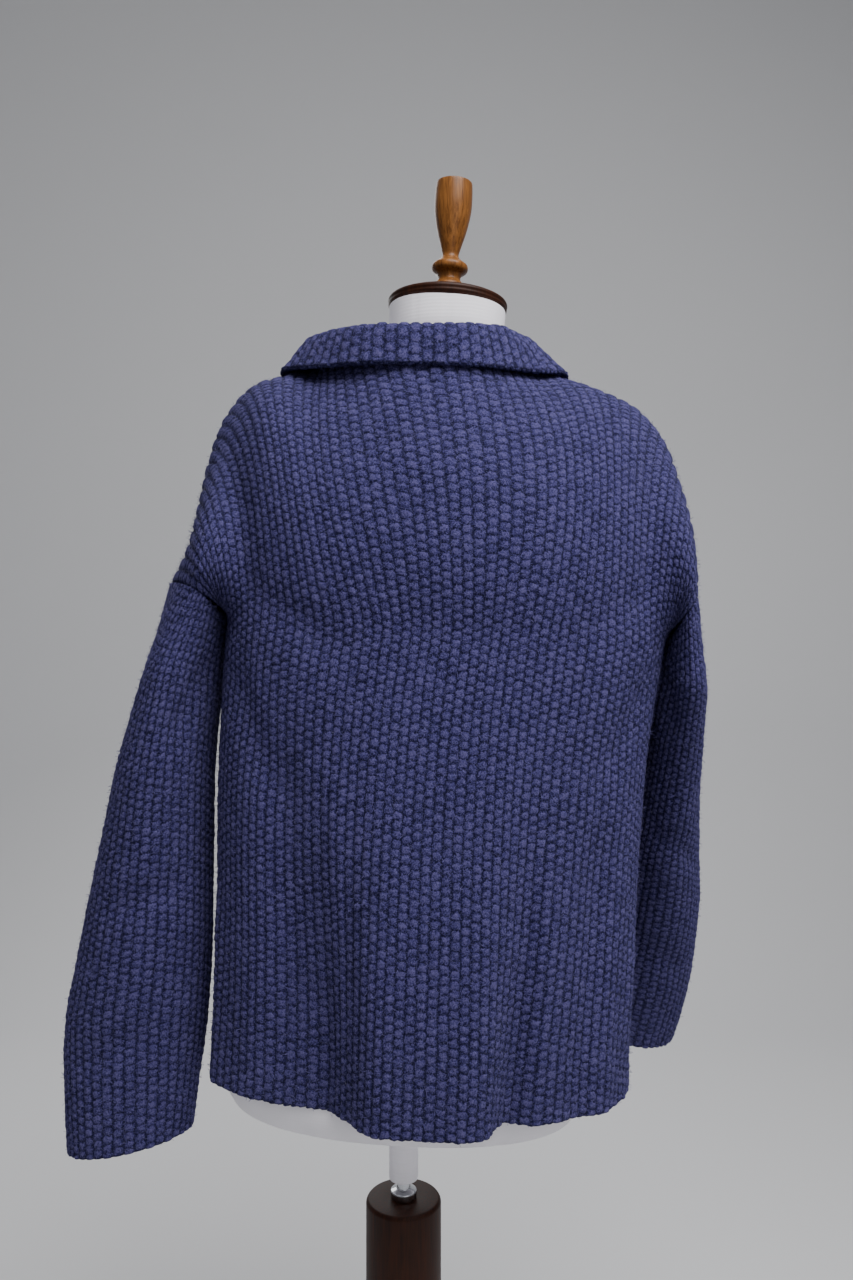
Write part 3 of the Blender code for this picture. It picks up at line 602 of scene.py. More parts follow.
def collar_walls(panels):
    """Outer and inner sections of the collar, swept round the neckline from front to front."""
    turns = collar_turns()
    edges, outs, inwards = [], [], []
    for turn in turns:
        front = abs(turn) > 1
        name = "back" if not front else ("front_left" if turn > 0 else "front_right")
        place = neck_share(turn)
        _, normals, shares = panels[name]
        out = unit(np.array([np.interp(place, shares, normals[-1, :, k]) for k in range(3)]))
        near = top_line(front, [place - 0.002, place, place + 0.002])
        inward = unit(np.cross(out, near[2] - near[0]))
        if np.dot(inward[:2], NECK_CENTRE - near[1][:2]) < 0:
            inward = -inward
        edges.append(near[1])
        outs.append(out)
        inwards.append(inward)
    outs = even_out(np.array(outs)[:, None], COLLAR_CALM)[:, 0]
    inwards = even_out(np.array(inwards)[:, None], COLLAR_CALM)[:, 0]
    stations = []
    for turn, edge, out, inward in zip(turns, edges, outs, inwards):
        lift = lap_lift(neck_share(turn)) if turn < -1 else 0
        start = edge + out * (lift - WALL / 2) + inward * COLLAR_SEAM_GAP
        stand, fold, fall, steep = through(COLLAR, turn)
        flat = unit(np.array([inward[0], inward[1], 0]))
        begin = math.atan2(inward[2], float(np.dot(inward, flat)))
        stations.append(collar_section(start, flat, begin, stand, fold, fall, math.radians(steep)))
    outer = np.array([s[0] for s in stations])
    inner = np.array([s[1] for s in stations])
    return outer, inner


def collar_turns():
    """Places round the neckline: 0 is the back, 2 and -2 the two ends at the front."""
    return np.linspace(2 - COLLAR_OPENING * 2, -2 + COLLAR_OPENING * 2, COLLAR_STATIONS)


def neck_share(turn):
    """The share of a panel's width at a place round the neckline."""
    reach = turn if abs(turn) <= 1 else math.copysign(2 - abs(turn), turn)
    return 0.5 - reach * NECK_SHARE / 2


def collar_section(start, flat, begin, stand, fold, fall, steep):
    """One section of the collar: up the stand, over the fold and down the fall."""
    up = np.array([0.0, 0.0, 1.0])
    length = stand + fold + fall
    steps = np.linspace(0, length, 121)
    bend = stand * COLLAR_BEND
    angle = begin + (COLLAR_UPRIGHT - begin) * smooth(steps / bend)
    angle = angle + (math.pi + steep - COLLAR_UPRIGHT) * smooth((steps - stand) / fold)
    ways = np.cos(angle)[:, None] * flat + np.sin(angle)[:, None] * up
    moved = np.cumsum((ways[1:] + ways[:-1]) / 2, axis=0) * steps[1]
    path = np.concatenate([[start], start + moved])
    outs = -np.sin(angle)[:, None] * flat + np.cos(angle)[:, None] * up
    picks = np.round(np.concatenate([
        np.linspace(0, stand, 3, endpoint=False),
        np.linspace(stand, stand + fold, COLLAR_STEPS - 5, endpoint=False),
        np.linspace(stand + fold, length, 3),
    ]) / steps[1]).astype(int)
    return (path + outs * COLLAR_WALL / 2)[picks], (path - outs * COLLAR_WALL / 2)[picks]


# Knit: stitch columns and bumps as counted on the photo, four faces across and along each bump
SUB = 4
BODY_COLUMNS = 64
FRONT_COLUMNS = 34
SLEEVE_COLUMNS = 40
COLLAR_COLUMNS = 58
BUMP_PITCH = 0.0077
BODY_BUMPS = 87
FRONT_BUMPS = 86
SLEEVE_BUMPS = 66
COLLAR_BUMPS = 10
# A bump's reach from its crown, in stitches across and along, how square it is, and how far
# its sides hang below its middle, as in a loop of yarn
BUMP_ACROSS = 0.525
BUMP_ALONG = 0.540
BUMP_SQUARENESS = 3.8
BUMP_ARCH = 0.5
# Unevenness of hand knitting: how far rows wander, in bumps, and stitches drift, in metres; the
# drift fades out over the outermost twelfth of a piece
ROW_WANDER = 0.22
STITCH_DRIFT = 0.0009
CALM_EDGE = 12
# The tone inside a stitch: how far fibres blur its outline, in stitches across and along, and
# how much painted shade its lower side gets, counted as extra depth
STITCH_SWAY = (0.50, 0.80, 0.0)
LOWER_SIDE_SHADE = -0.42

# A crease fades over this share of its length, and runs out to a lower edge that is this near
CREASE_FADE = 0.35
CREASE_EDGE = 0.03
# Creases: columns are start across, start up, end across, end up (shares of the piece
# from the wearer's left and from its lower edge), half width and depth in metres
BACK_CREASES = (
    (0.10, 0.60, 0.27, 0.36, 0.020, -0.0050),
    (0.13, 0.70, 0.36, 0.57, 0.016, -0.0030),
    (0.90, 0.62, 0.74, 0.40, 0.019, -0.0045),
    (0.88, 0.72, 0.66, 0.60, 0.015, -0.0028),
    (0.25, 0.58, 0.265, 0.00, 0.021, -0.0075),
    (0.34, 0.52, 0.345, 0.00, 0.017, 0.0060),
    (0.79, 0.46, 0.78, 0.00, 0.018, -0.0065),
    (0.70, 0.42, 0.695, 0.00, 0.016, 0.0050),
    (0.42, 0.86, 0.60, 0.83, 0.022, 0.0024),
    (0.09, 0.30, 0.11, 0.00, 0.015, 0.0040),
    (0.90, 0.26, 0.89, 0.02, 0.015, 0.0036),
)
FRONT_CREASES = (
    (0.14, 0.62, 0.52, 0.42, 0.019, -0.0045),
    (0.20, 0.72, 0.60, 0.62, 0.016, -0.0028),
    (0.36, 0.34, 0.40, 0.02, 0.017, -0.0045),
    (0.62, 0.26, 0.66, 0.00, 0.014, 0.0034),
    (0.80, 0.16, 0.84, 0.52, 0.018, -0.0026),
)
SLEEVE_LEFT_CREASES = (
    (0.06, 0.92, 0.22, 0.70, 0.016, -0.0045),
    (0.94, 0.90, 0.78, 0.66, 0.015, -0.0040),
    (0.10, 0.50, 0.36, 0.42, 0.014, -0.0036),
    (0.84, 0.44, 0.60, 0.33, 0.014, -0.0034),
    (0.14, 0.24, 0.40, 0.14, 0.015, -0.0032),
    (0.52, 0.62, 0.56, 0.20, 0.018, 0.0026),
)
SLEEVE_RIGHT_CREASES = (
    (0.08, 0.94, 0.20, 0.74, 0.015, -0.0042),
    (0.92, 0.88, 0.80, 0.62, 0.016, -0.0044),
    (0.12, 0.58, 0.40, 0.46, 0.013, -0.0038),
    (0.88, 0.50, 0.62, 0.38, 0.015, -0.0036),
    (0.16, 0.30, 0.38, 0.18, 0.014, -0.0034),
    (0.46, 0.66, 0.50, 0.26, 0.019, 0.0026),
)
COLLAR_CREASES = (
    (0.24, 0.30, 0.26, 1.00, 0.014, 0.0016),
    (0.63, 0.30, 0.66, 1.00, 0.015, -0.0016),
    (0.84, 0.40, 0.83, 1.00, 0.012, 0.0014),
)

# The middle of each finished wall and its way out, by name, for the edges and fibres on it
WALLS = {}


def finer(grid, count, around=False):
    """Rows of a grid placed evenly on smooth curves; a closed ring keeps one row of each."""
    wide = np.concatenate([grid[-3:], grid, grid[:4]]) if around else grid
    chords = np.linalg.norm(np.diff(wide, axis=0), axis=-1).mean(axis=1)
    keys = np.concatenate([[0], np.cumsum(chords)])
    if around:
        at = np.linspace(keys[3], keys[3 + len(grid)], count + 1)[:-1]
    else:
        at = np.linspace(0, keys[-1], count + 1)
    table = np.column_stack([keys, wide.reshape(len(wide), -1)])
    return through(table, at).reshape(len(at), *grid.shape[1:])


def fine_grid(grid, rows, columns, around=False):
    return finer(finer(grid, rows).swapaxes(0, 1), columns, around).swapaxes(0, 1)


def hashed(a, b):
    """A steady value from 0 to 1 for each pair of whole numbers."""
    value = np.sin(a * 127.1 + b * 311.7 + 17.3) * 43758.5453
    return value - np.floor(value)


def wander(s, t):
    """Slow unevenness of hand knitting, from -1 to 1."""
    return (
        np.sin(s * 0.31 + t * 0.043 + 1.3) * 0.5
        + np.sin(s * 0.13 - t * 0.097 + 4.1) * 0.3
        + np.sin(s * 0.71 + t * 0.19) * 0.2
    )


def moss(s, t, knit):
    """Height of the moss stitch: rounded bumps packed like bricks, each column half a bump on."""
    column = np.floor(s + 1e-6)
    beside = abs(np.clip(s - column, 0, 1) - 0.5)
    phase = t + 0.5 * (column % 2) + BUMP_ARCH * beside**2
    row = np.floor(phase)
    along = abs(phase - row - 0.5)
    p = BUMP_SQUARENESS
    own = (beside / BUMP_ACROSS) ** p + (along / BUMP_ALONG) ** p
    next_one = ((1 - beside) / BUMP_ACROSS) ** p + ((0.5 - along) / BUMP_ALONG) ** p
    size = 1 + knit.unevenness * (hashed(column, row) - 0.5)
    height = size * np.sqrt(np.clip(1 - np.minimum(own, next_one), 0.02, 1))
    return knit.relief * (height - knit.sunk)


def form_gap(points):
    """How far points of the cloth lie outside the form, roughly, in metres."""
    x, y, z = points[..., 0], points[..., 1], points[..., 2] - FORM_FOOT
    across = x * math.cos(LEAN) + z * math.sin(LEAN)
    height = z * math.cos(LEAN) - x * math.sin(LEAN)
    half_width, back, front = np.moveaxis(through(TORSO, height), -1, 0)
    depth = np.where(y >= 0, back, front)
    p = TORSO_SQUARENESS
    share = ((abs(across) / half_width) ** p + (abs(y) / depth) ** p) ** (1 / p)
    gap = (1 - 1 / np.maximum(share, 0.01)) * np.hypot(across, y)
    return np.where(height > SHOULDER_HEIGHT, 1.0, gap)


def crease_lift(creases, across, up, width, length):
    """How far the creases move points at shares across and up a piece of that size."""
    lift = np.zeros(np.broadcast(across, up).shape)
    for a0, b0, a1, b1, spread, depth in creases:
        along = np.array([(a1 - a0) * width, (b1 - b0) * length])
        reach = np.linalg.norm(along)
        along = along / reach
        x, y = (across - a0) * width, (up - b0) * length
        place = x * along[0] + y * along[1]
        beside = x * along[1] - y * along[0]
        begins = smooth(place / (CREASE_FADE * reach))
        fade = begins * smooth((reach - place) / (CREASE_FADE * reach))
        open_end = smooth(1 - b1 / CREASE_EDGE) * (place > 0.5 * reach)
        fade = np.maximum(fade, open_end * begins)
        lift = lift + depth * fade * np.exp(-((beside / spread) ** 2))
    return lift


def knit_wall(name, outer, inner, columns, bumps, knit, creases=(), around=False, both=False):
    """A knitted wall on a piece's outer and inner grids: stitches outside, plain or knit inside."""
    rows, fine = bumps * SUB, columns * SUB
    step = 1 if both else SUB
    out = fine_grid(outer, rows, fine, around)
    into = fine_grid(inner, rows // step, fine // step, around)
    facing = grid_normals(out, 1, around)[::step, ::step]
    flip = -1 if np.sum((out[::step, ::step] - into) * facing) < 0 else 1
    climb = np.cumsum(np.linalg.norm(np.diff(out, axis=0), axis=-1), axis=0)
    length = np.concatenate([np.zeros((1, out.shape[1])), climb])
    width = float(np.linalg.norm(np.diff(out, axis=1), axis=-1).sum(axis=1).mean())
    s = np.broadcast_to(np.arange(out.shape[1]) / SUB, length.shape)
    t = length / BUMP_PITCH
    t = t + ROW_WANDER * wander(s, t)
    up = np.linspace(0, 1, rows + 1)[:, None]
    across = np.linspace(0, 1, out.shape[1])[None]
    crease = crease_lift(creases, across, up, width, float(length[-1].mean()))
    drift = STITCH_DRIFT * np.stack([wander(s, t), wander(t * 0.4, s)], axis=-1)
    sideways = unit(np.gradient(out, axis=1))
    upward = unit(np.gradient(out, axis=0))
    edge = smooth(up * CALM_EDGE) * smooth((1 - up) * CALM_EDGE)
    if not around:
        edge = edge * smooth(across * CALM_EDGE) * smooth((1 - across) * CALM_EDGE)
    normals = grid_normals(out, flip, around)
    spare = form_gap(out - normals * WALL) - FORM_CLEARANCE
    crease = np.maximum(crease, -np.clip(spare, 0, None))
    relief = moss(s, t, knit)
    shaped = out + normals * (relief + crease)[..., None]
    shaped += (sideways * drift[..., :1] + upward * drift[..., 1:]) * edge[..., None]
    plain_normals = grid_normals(into, flip, around)
    plain = into + plain_normals * crease[::step, ::step, None]
    if both:
        plain = plain - plain_normals * moss(s, t, knit)[..., None]
    obj = shell(name, shaped, plain, s, t, step, around)
    obj.data.materials.append(shared("moss_stitch_wool", wool, knit))
    return obj


def quads(rows, wide, around=False):
    """Faces of a grid of points, row by row; a closed grid's last column joins its first."""
    i, j = np.meshgrid(np.arange(rows - 1), np.arange(wide if around else wide - 1), indexing="ij")
    a, b = i * wide + j, i * wide + (j + 1) % wide
    return np.stack([a, b, b + wide, a + wide], axis=-1).reshape(-1, 4)


def rim_faces(rows, wide, inner_rows, slim, step, around):
    """Faces between the open edges of a fine outer grid and those of a coarser inner one."""
    back, high = rows * wide, (rows - 1) * wide
    inner_high = back + (inner_rows - 1) * slim
    rims = []
    for k in range(slim if around else slim - 1):
        edge = [(k * step + n) % wide for n in range(step + 1)]
        near, far = k, (k + 1) % slim
        rims.append([edge[0], back + near, back + far] + edge[:0:-1])
        rims.append([high + n for n in edge] + [inner_high + far, inner_high + near])
    for k in range(0 if around else inner_rows - 1):
        edge = [(k * step + n) * wide for n in range(step + 1)]
        near, far = back + k * slim, back + (k + 1) * slim
        rims.append(edge + [far, near])
        last = [n + wide - 1 for n in edge]
        rims.append([last[0], near + slim - 1, far + slim - 1] + last[:0:-1])
    return rims


def shell(name, outer, inner, s, t, step, around):
    """A closed mesh of two grids, the inner one coarser by step, with stitch counts as its UV."""
    WALLS[name] = (outer[::step, ::step] + inner) / 2, unit(outer[::step, ::step] - inner)
    (rows, wide), (inner_rows, slim) = outer.shape[:2], inner.shape[:2]
    inside = quads(inner_rows, slim, around)[:, ::-1] + rows * wide
    faces = quads(rows, wide, around).tolist() + inside.tolist()
    faces += rim_faces(rows, wide, inner_rows, slim, step, around)
    points = np.concatenate([outer.reshape(-1, 3), inner.reshape(-1, 3)])
    mesh = bpy.data.meshes.new(name)
    mesh.from_pydata(points.tolist(), [], faces)
    counts = np.stack([s, t], axis=-1)
    counts = np.concatenate([counts.reshape(-1, 2), counts[::step, ::step].reshape(-1, 2)])
    corners = np.zeros(len(mesh.loops), np.int32)
    mesh.loops.foreach_get("vertex_index", corners)
    uv = counts[corners]
    if around:
        # A face across the seam counts on, so that its stitch doesn't run back to the start
        turn = wide / SUB
        starts = np.zeros(len(mesh.polygons), np.int32)
        totals = np.zeros(len(mesh.polygons), np.int32)
        mesh.polygons.foreach_get("loop_start", starts)
        mesh.polygons.foreach_get("loop_total", totals)
        owner = np.repeat(np.arange(len(starts)), totals)
        highest = np.maximum.reduceat(uv[:, 0], starts)[owner]
        uv[:, 0] += turn * ((uv[:, 0] < 1e-6) & (highest > turn / 2))
    layer = mesh.uv_layers.new(name="stitches")
    layer.uv.foreach_set("vector", uv.astype(np.float32).ravel())
    mesh.shade_smooth()
    mesh.update()
    return turn_out(placed(name, mesh))


def placed(name, data):
    """A new object in the scene for a mesh, a light or a camera."""
    obj = bpy.data.objects.new(name, data)
    bpy.context.scene.collection.objects.link(obj)
    return obj


def turn_out(obj):
    """Turns the faces of a closed mesh outwards."""
    mesh = obj.data
    mesh.calc_loop_triangles()
    points = np.zeros(len(mesh.vertices) * 3)
    mesh.vertices.foreach_get("co", points)
    corners = np.zeros(len(mesh.loop_triangles) * 3, np.int32)
    mesh.loop_triangles.foreach_get("vertices", corners)
    a, b, c = points.reshape(-1, 3)[corners.reshape(-1, 3)].swapaxes(0, 1)
    if np.sum(a * np.cross(b, c)) < 0:
        mesh.flip_normals()
    return obj


# Small makers
def linear(code):
    """A six-digit sRGB hex colour as linear red, green and blue."""
    values = [int(code[k:k + 2], 16) / 255 for k in (1, 3, 5)]
    return [v / 12.92 if v <= 0.04045 else ((v + 0.055) / 1.055) ** 2.4 for v in values]


def add(tree, kind, inputs=(), stops=(), **settings):
    """One node with its settings; inputs maps sockets to values or to other nodes' sockets.

    A band of colours also gets its stops, each a place and a linear colour.
    """
    made = tree.nodes.new(kind)
    for key, value in settings.items():
        setattr(made, key, value)
    for k, (place, tone) in enumerate(stops):
        band = made.color_ramp.elements
        stop = band.new(place) if 0 < k < len(stops) - 1 else band[-1 if k else 0]
        stop.position, stop.color = place, (*tone, 1)
    for key, value in dict(inputs).items():
        socket = made.inputs[key]
        if isinstance(value, bpy.types.NodeSocket):
            tree.links.new(value, socket)
        else:
            socket.default_value = value
    return made


def new_material(name, colour, **values):
    made = bpy.data.materials.new(name)
    made.use_nodes = True
    shader = made.node_tree.nodes["Principled BSDF"]
    shader.inputs["Base Color"].default_value = (*colour, 1)
    for socket, value in values.items():
        shader.inputs[socket.replace("_", " ")].default_value = value
    return made, made.node_tree, shader


def surface(tree, shader, value, stops, height=None, depth=0.0, strength=1.0):
    """Colours a material by a value through stops, and gives it a height's relief in metres."""
    if stops:
        band = add(tree, "ShaderNodeValToRGB", {"Fac": value}, stops)
        tree.links.new(band.outputs["Color"], shader.inputs["Base Color"])
    if height is not None:
        relief = {"Height": height, "Distance": depth, "Strength": strength}
        relief = add(tree, "ShaderNodeBump", relief)
        tree.links.new(relief.outputs["Normal"], shader.inputs["Normal"])


def object_place(tree, scale=(1, 1, 1)):
    """A place on the object in metres, times a scale for each axis."""
    place = add(tree, "ShaderNodeTexCoord").outputs["Object"]
    return add(tree, "ShaderNodeMapping", {"Vector": place, "Scale": scale}).outputs["Vector"]


def stitch_depth_and_shade(tree, place):
    """How deep a place lies between the moss stitches, from its stitch counts, 0 on a crown, for painted
    shade.

    The lower side of each bump counts as deeper, so that it gets painted shade, because it turns away
    from the light.
    Also gives a steady number from 0 to 1 for each stitch.
    """
    counts = add(tree, "ShaderNodeUVMap", uv_map="stitches").outputs["UV"]
    sway = {"Vector": place, "Scale": 330.0, "Detail": 2.0}
    sway = add(tree, "ShaderNodeTexNoise", sway).outputs["Color"]
    sway = {0: sway, 1: (0.5, 0.5, 0.5)}
    sway = add(tree, "ShaderNodeVectorMath", sway, operation="SUBTRACT").outputs[0]
    counts = {0: sway, 1: STITCH_SWAY, 2: counts}
    counts = add(tree, "ShaderNodeVectorMath", counts, operation="MULTIPLY_ADD")
    split = add(tree, "ShaderNodeSeparateXYZ", {"Vector": counts.outputs[0]}).outputs
    known = {"s": split["X"], "t": split["Y"]}
    for name, kind, *values in (
        ("column", "FLOOR", "s"),
        ("odd", "FLOORED_MODULO", "column", 2.0),
        ("phase", "MULTIPLY_ADD", "odd", 0.5, "t"),
        ("beside", "SUBTRACT", "s", "column"),
        ("beside", "SUBTRACT", "beside", 0.5),
        ("beside", "ABSOLUTE", "beside"),
        ("arch", "MULTIPLY", "beside", "beside"),
        ("phase", "MULTIPLY_ADD", "arch", BUMP_ARCH, "phase"),
        ("row", "FLOOR", "phase"),
        ("height", "SUBTRACT", "phase", "row"),
        ("height", "SUBTRACT", "height", 0.5),
        ("along", "ABSOLUTE", "height"),
        ("x", "DIVIDE", "beside", BUMP_ACROSS),
        ("x", "POWER", "x", BUMP_SQUARENESS),
        ("y", "DIVIDE", "along", BUMP_ALONG),
        ("y", "POWER", "y", BUMP_SQUARENESS),
        ("own", "ADD", "x", "y"),
        ("x", "SUBTRACT", 1.0, "beside"),
        ("x", "DIVIDE", "x", BUMP_ACROSS),
        ("x", "POWER", "x", BUMP_SQUARENESS),
        ("y", "SUBTRACT", 0.5, "along"),
        ("y", "DIVIDE", "y", BUMP_ALONG),
        ("y", "POWER", "y", BUMP_SQUARENESS),
        ("next", "ADD", "x", "y"),
        ("depth", "MINIMUM", "own", "next"),
        ("depth", "MULTIPLY_ADD", "height", LOWER_SIDE_SHADE, "depth"),
    ):
        inputs = {k: known[v] if isinstance(v, str) else v for k, v in enumerate(values)}
        known[name] = add(tree, "ShaderNodeMath", inputs, operation=kind).outputs[0]
    stitch = add(tree, "ShaderNodeCombineXYZ", {"X": known["column"], "Y": known["row"]}).outputs[0]
    chance = add(tree, "ShaderNodeTexWhiteNoise", {"Vector": stitch}, noise_dimensions="2D")
    return known["depth"], chance.outputs["Value"]


def wool(name, yarn):
    """Loosely spun wool: matt, with stray fibres that catch light at the rim, and painted shade in the
    gaps between the stitches.
    """
    made, tree, shader = new_material(
        name, yarn.mid, Roughness=0.94, Sheen_Weight=0.20, Sheen_Roughness=0.5, IOR=1.45,
    )
    shader.inputs["Sheen Tint"].default_value = (*yarn.fuzz, 1)
    shader.inputs["Specular IOR Level"].default_value = 0.15
    place = object_place(tree)
    # Plies about 2 mm across with fibres on them break up each stitch; 14 mm patches vary the dye
    fibre = add(tree, "ShaderNodeTexNoise", {
        "Vector": place, "Scale": 600.0, "Detail": 4.0, "Roughness": 0.75, "Distortion": 0.8,
    }).outputs["Fac"]
    patch = {"Vector": place, "Scale": 70.0, "Detail": 2.0}
    patch = add(tree, "ShaderNodeTexNoise", patch).outputs["Fac"]
    deep, chance = stitch_depth_and_shade(tree, place) if name == "moss_stitch_wool" else (patch, patch)
    for source, weight in ((fibre, 3.5), (patch, 0.35), (chance, 0.16)):
        deep = {0: source, 1: weight, 2: deep}
        deep = add(tree, "ShaderNodeMath", deep, operation="MULTIPLY_ADD").outputs[0]
    # On the moss stitch the colour is painted light and shade: it runs from the lit tone, a painted
    # highlight on the crowns, to the gap tone, painted shade, the deeper a place lies between the
    # stitches or the lower it is on its bump; fibres, dye patches and stitches shift it at random
    share = add(tree, "ShaderNodeMapRange", {"Value": deep, "From Min": 1.74, "From Max": 2.72})
    colour = add(tree, "ShaderNodeValToRGB", {"Fac": share.outputs["Result"]}, [
        (0.0, yarn.lit), (0.35, yarn.mid), (0.68, yarn.shadow), (1.0, yarn.gap),
    ]).outputs["Color"]
    # Paler flecks about 1 mm across are the ends of fibres
    fleck = {"Vector": place, "Scale": 950.0, "Detail": 1.0}
    fleck = add(tree, "ShaderNodeTexNoise", fleck).outputs["Fac"]
    fleck = add(tree, "ShaderNodeMapRange", {
        "Value": fleck, "From Min": 0.57, "From Max": 0.70, "To Min": 0.0, "To Max": 0.30,
    }).outputs["Result"]
    mixed = {"Factor": fleck, 6: colour, 7: (*yarn.fuzz, 1)}
    mixed = add(tree, "ShaderNodeMix", mixed, data_type="RGBA")
    tree.links.new(mixed.outputs[2], shader.inputs["Base Color"])
    plies = add(tree, "ShaderNodeMath", {0: deep, 1: -1.0}, operation="MULTIPLY").outputs[0]
    surface(tree, shader, None, (), plies, 0.0011, 0.9)
    return made


def loose_fibre(name, yarn):
    """Single wool hairs standing off the yarn: matt, and they blur its edge."""
    made, tree, shader = new_material(name, yarn.lit, Roughness=0.9, Sheen_Weight=0.2)
    place = object_place(tree)
    # The tone changes every 3 mm, about half a hair's length
    along = {"Vector": place, "Scale": 330.0, "Detail": 2.0}
    along = add(tree, "ShaderNodeTexNoise", along).outputs["Fac"]
    # Painted highlight: the hairs take the yarn's lit tone, lighter than the yarn itself, mixed with its
    # mid tone
    surface(tree, shader, along, [(0.40, yarn.mid), (0.68, yarn.lit)])
    return made


def jersey(colour):
    """Cotton jersey pulled smooth over foam: matt, with ribs a little under 1 mm apart."""
    made, tree, shader = new_material("cotton_jersey", colour, Roughness=0.85, Sheen_Weight=0.15)
    place = object_place(tree)
    # Drawn at 1.6 mm, twice as coarse as the real ribs, so that they show
    ribs = add(tree, "ShaderNodeTexWave", {
        "Vector": place, "Scale": 98.0, "Distortion": 1.2, "Detail": 2.0,
    }, bands_direction="Z").outputs["Fac"]
    cloud = {"Vector": place, "Scale": 9.0, "Detail": 3.0}
    cloud = add(tree, "ShaderNodeTexNoise", cloud).outputs["Fac"]
    tones = [(0.3, [c * 0.93 for c in colour]), (0.7, colour)]
    surface(tree, shader, cloud, tones, ribs, 0.00012, 0.35)
    return made


def turned_wood(name, dark, light, roughness):
    """Lathe-turned, varnished hardwood: grain lines about 2 mm apart run along the pole."""
    made, tree, shader = new_material(
        name, dark, Roughness=roughness, Coat_Weight=0.03, Coat_Roughness=0.3,
    )
    shader.inputs["Specular IOR Level"].default_value = 0.18
    place = object_place(tree, (420.0, 420.0, 22.0))
    grain = add(tree, "ShaderNodeTexNoise", {
        "Vector": place, "Scale": 1.0, "Detail": 5.0, "Roughness": 0.62, "Distortion": 0.8,
    }).outputs["Fac"]
    rough = add(tree, "ShaderNodeMapRange", {
        "Value": grain, "To Min": roughness - 0.08, "To Max": roughness + 0.12,
    }).outputs["Result"]
    tree.links.new(rough, shader.inputs["Roughness"])
    surface(tree, shader, grain, [(0.30, dark), (0.72, light)], grain, 0.00018, 0.5)
    return made


def polished_chrome(colour):
    """Chrome plate on a drawn steel rod: a clear mirror with faint drawing lines along it."""
    made, tree, shader = new_material("chrome_plated_steel", colour, Metallic=1.0, Roughness=0.14)
    lines = {"Vector": object_place(tree, (1600.0, 1600.0, 30.0)), "Scale": 1.0, "Detail": 2.0}
    lines = add(tree, "ShaderNodeTexNoise", lines).outputs["Fac"]
    rough = add(tree, "ShaderNodeMapRange", {"Value": lines, "To Min": 0.08, "To Max": 0.22})
    tree.links.new(rough.outputs["Result"], shader.inputs["Roughness"])
    return made


def corozo(dark, light):
    """Polished corozo nut: dark brown with soft streaks a few millimetres long."""
    made, tree, shader = new_material("polished_corozo_nut", dark, Roughness=0.32, Coat_Weight=0.2)
    streak = {"Vector": object_place(tree, (700.0, 700.0, 160.0)), "Scale": 1.0, "Detail": 4.0}
    streak = add(tree, "ShaderNodeTexNoise", streak).outputs["Fac"]
    surface(tree, shader, streak, [(0.35, dark), (0.75, light)], streak, 0.0001, 0.4)
    return made


def matt_paint(name, colour):
    """Rolled studio paint: quite matt, with a faint roller texture about 4 mm across."""
    made, tree, shader = new_material(name, colour, Roughness=0.8)
    grain = add(tree, "ShaderNodeTexNoise", {"Vector": object_place(tree), "Scale": 240.0})
    surface(tree, shader, None, (), grain.outputs["Fac"], 0.0002, 0.3)
    return made


def shared(name, make, *values):
    """The material of that name, made on first use."""
    return bpy.data.materials.get(name) or make(name, *values)


def dress(obj, body, slot, *nodes):
    """Says what a finished piece moves with and stands for; the slot for its finish is not used."""
    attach(obj, body)
    if nodes:
        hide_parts(*nodes)
    return obj


def mesh_piece(name, points, faces, material, smooth_angle=40):
    mesh = bpy.data.meshes.new(name)
    mesh.from_pydata(np.asarray(points, float).tolist(), [], faces)
    mesh.shade_smooth()
    mesh.set_sharp_from_angle(angle=math.radians(smooth_angle))
    mesh.materials.append(material)
    return turn_out(placed(name, mesh))


def rounded(corners, cut=0.0012, steps=3):
    """A profile with its corners rounded off by small arcs; the two ends stay as they are."""
    corners = [np.array(c, float) for c in corners]
    path = [corners[0]]
    for before, corner, after in zip(corners, corners[1:], corners[2:]):
        back, ahead = before - corner, after - corner
        reach = min(cut, 0.45 * np.linalg.norm(back), 0.45 * np.linalg.norm(ahead))
        start, end = corner + unit(back) * reach, corner + unit(ahead) * reach
        for k in range(steps + 1):
            t = k / steps
            path.append((1 - t) ** 2 * start + 2 * t * (1 - t) * corner + t**2 * end)
    return path + [corners[-1]]


def turned_piece(name, profile, material, steps=64, move=None):
    """A profile of radius and height from axis to axis, turned round Z, then moved."""
    angle = np.arange(steps) / steps * 2 * math.pi
    points, rows = [], []
    for radius, height in profile:
        if radius < 1e-6:
            rows.append([len(points)] * steps)
            points.append((0, 0, height))
        else:
            rows.append(list(range(len(points), len(points) + steps)))
            points += [(radius * math.cos(a), radius * math.sin(a), height) for a in angle]
    faces = []
    for low, high in zip(rows, rows[1:]):
        for k in range(steps):
            n = (k + 1) % steps
            corners = [low[k], low[n], high[n], high[k]]
            faces.append(tuple(dict.fromkeys(corners)))
    points = np.array(points, float)
    if move is not None:
        points = move(points)
    return mesh_piece(name, points, faces, material)


def on_form(height):
    """Moves a piece turned round Z to a height on the leaning form."""
    return lambda p: leaning(p[:, 0], p[:, 1], p[:, 2] + height)


def new_tree(name, guide, sizes):
    """A tree with a guide, sizes and a yarn as inputs and a mesh as output, and its inputs."""
    tree = bpy.data.node_groups.new(name, "GeometryNodeTree")
    face = tree.interface
    face.new_socket(guide, in_out="INPUT", socket_type="NodeSocketGeometry")
    for label, default in sizes.items():
        socket = face.new_socket(label, in_out="INPUT", socket_type="NodeSocketFloat")
        socket.default_value = default
    face.new_socket("Yarn", in_out="INPUT", socket_type="NodeSocketMaterial")
    face.new_socket("Mesh", in_out="OUTPUT", socket_type="NodeSocketGeometry")
    return tree, add(tree, "NodeGroupInput").outputs


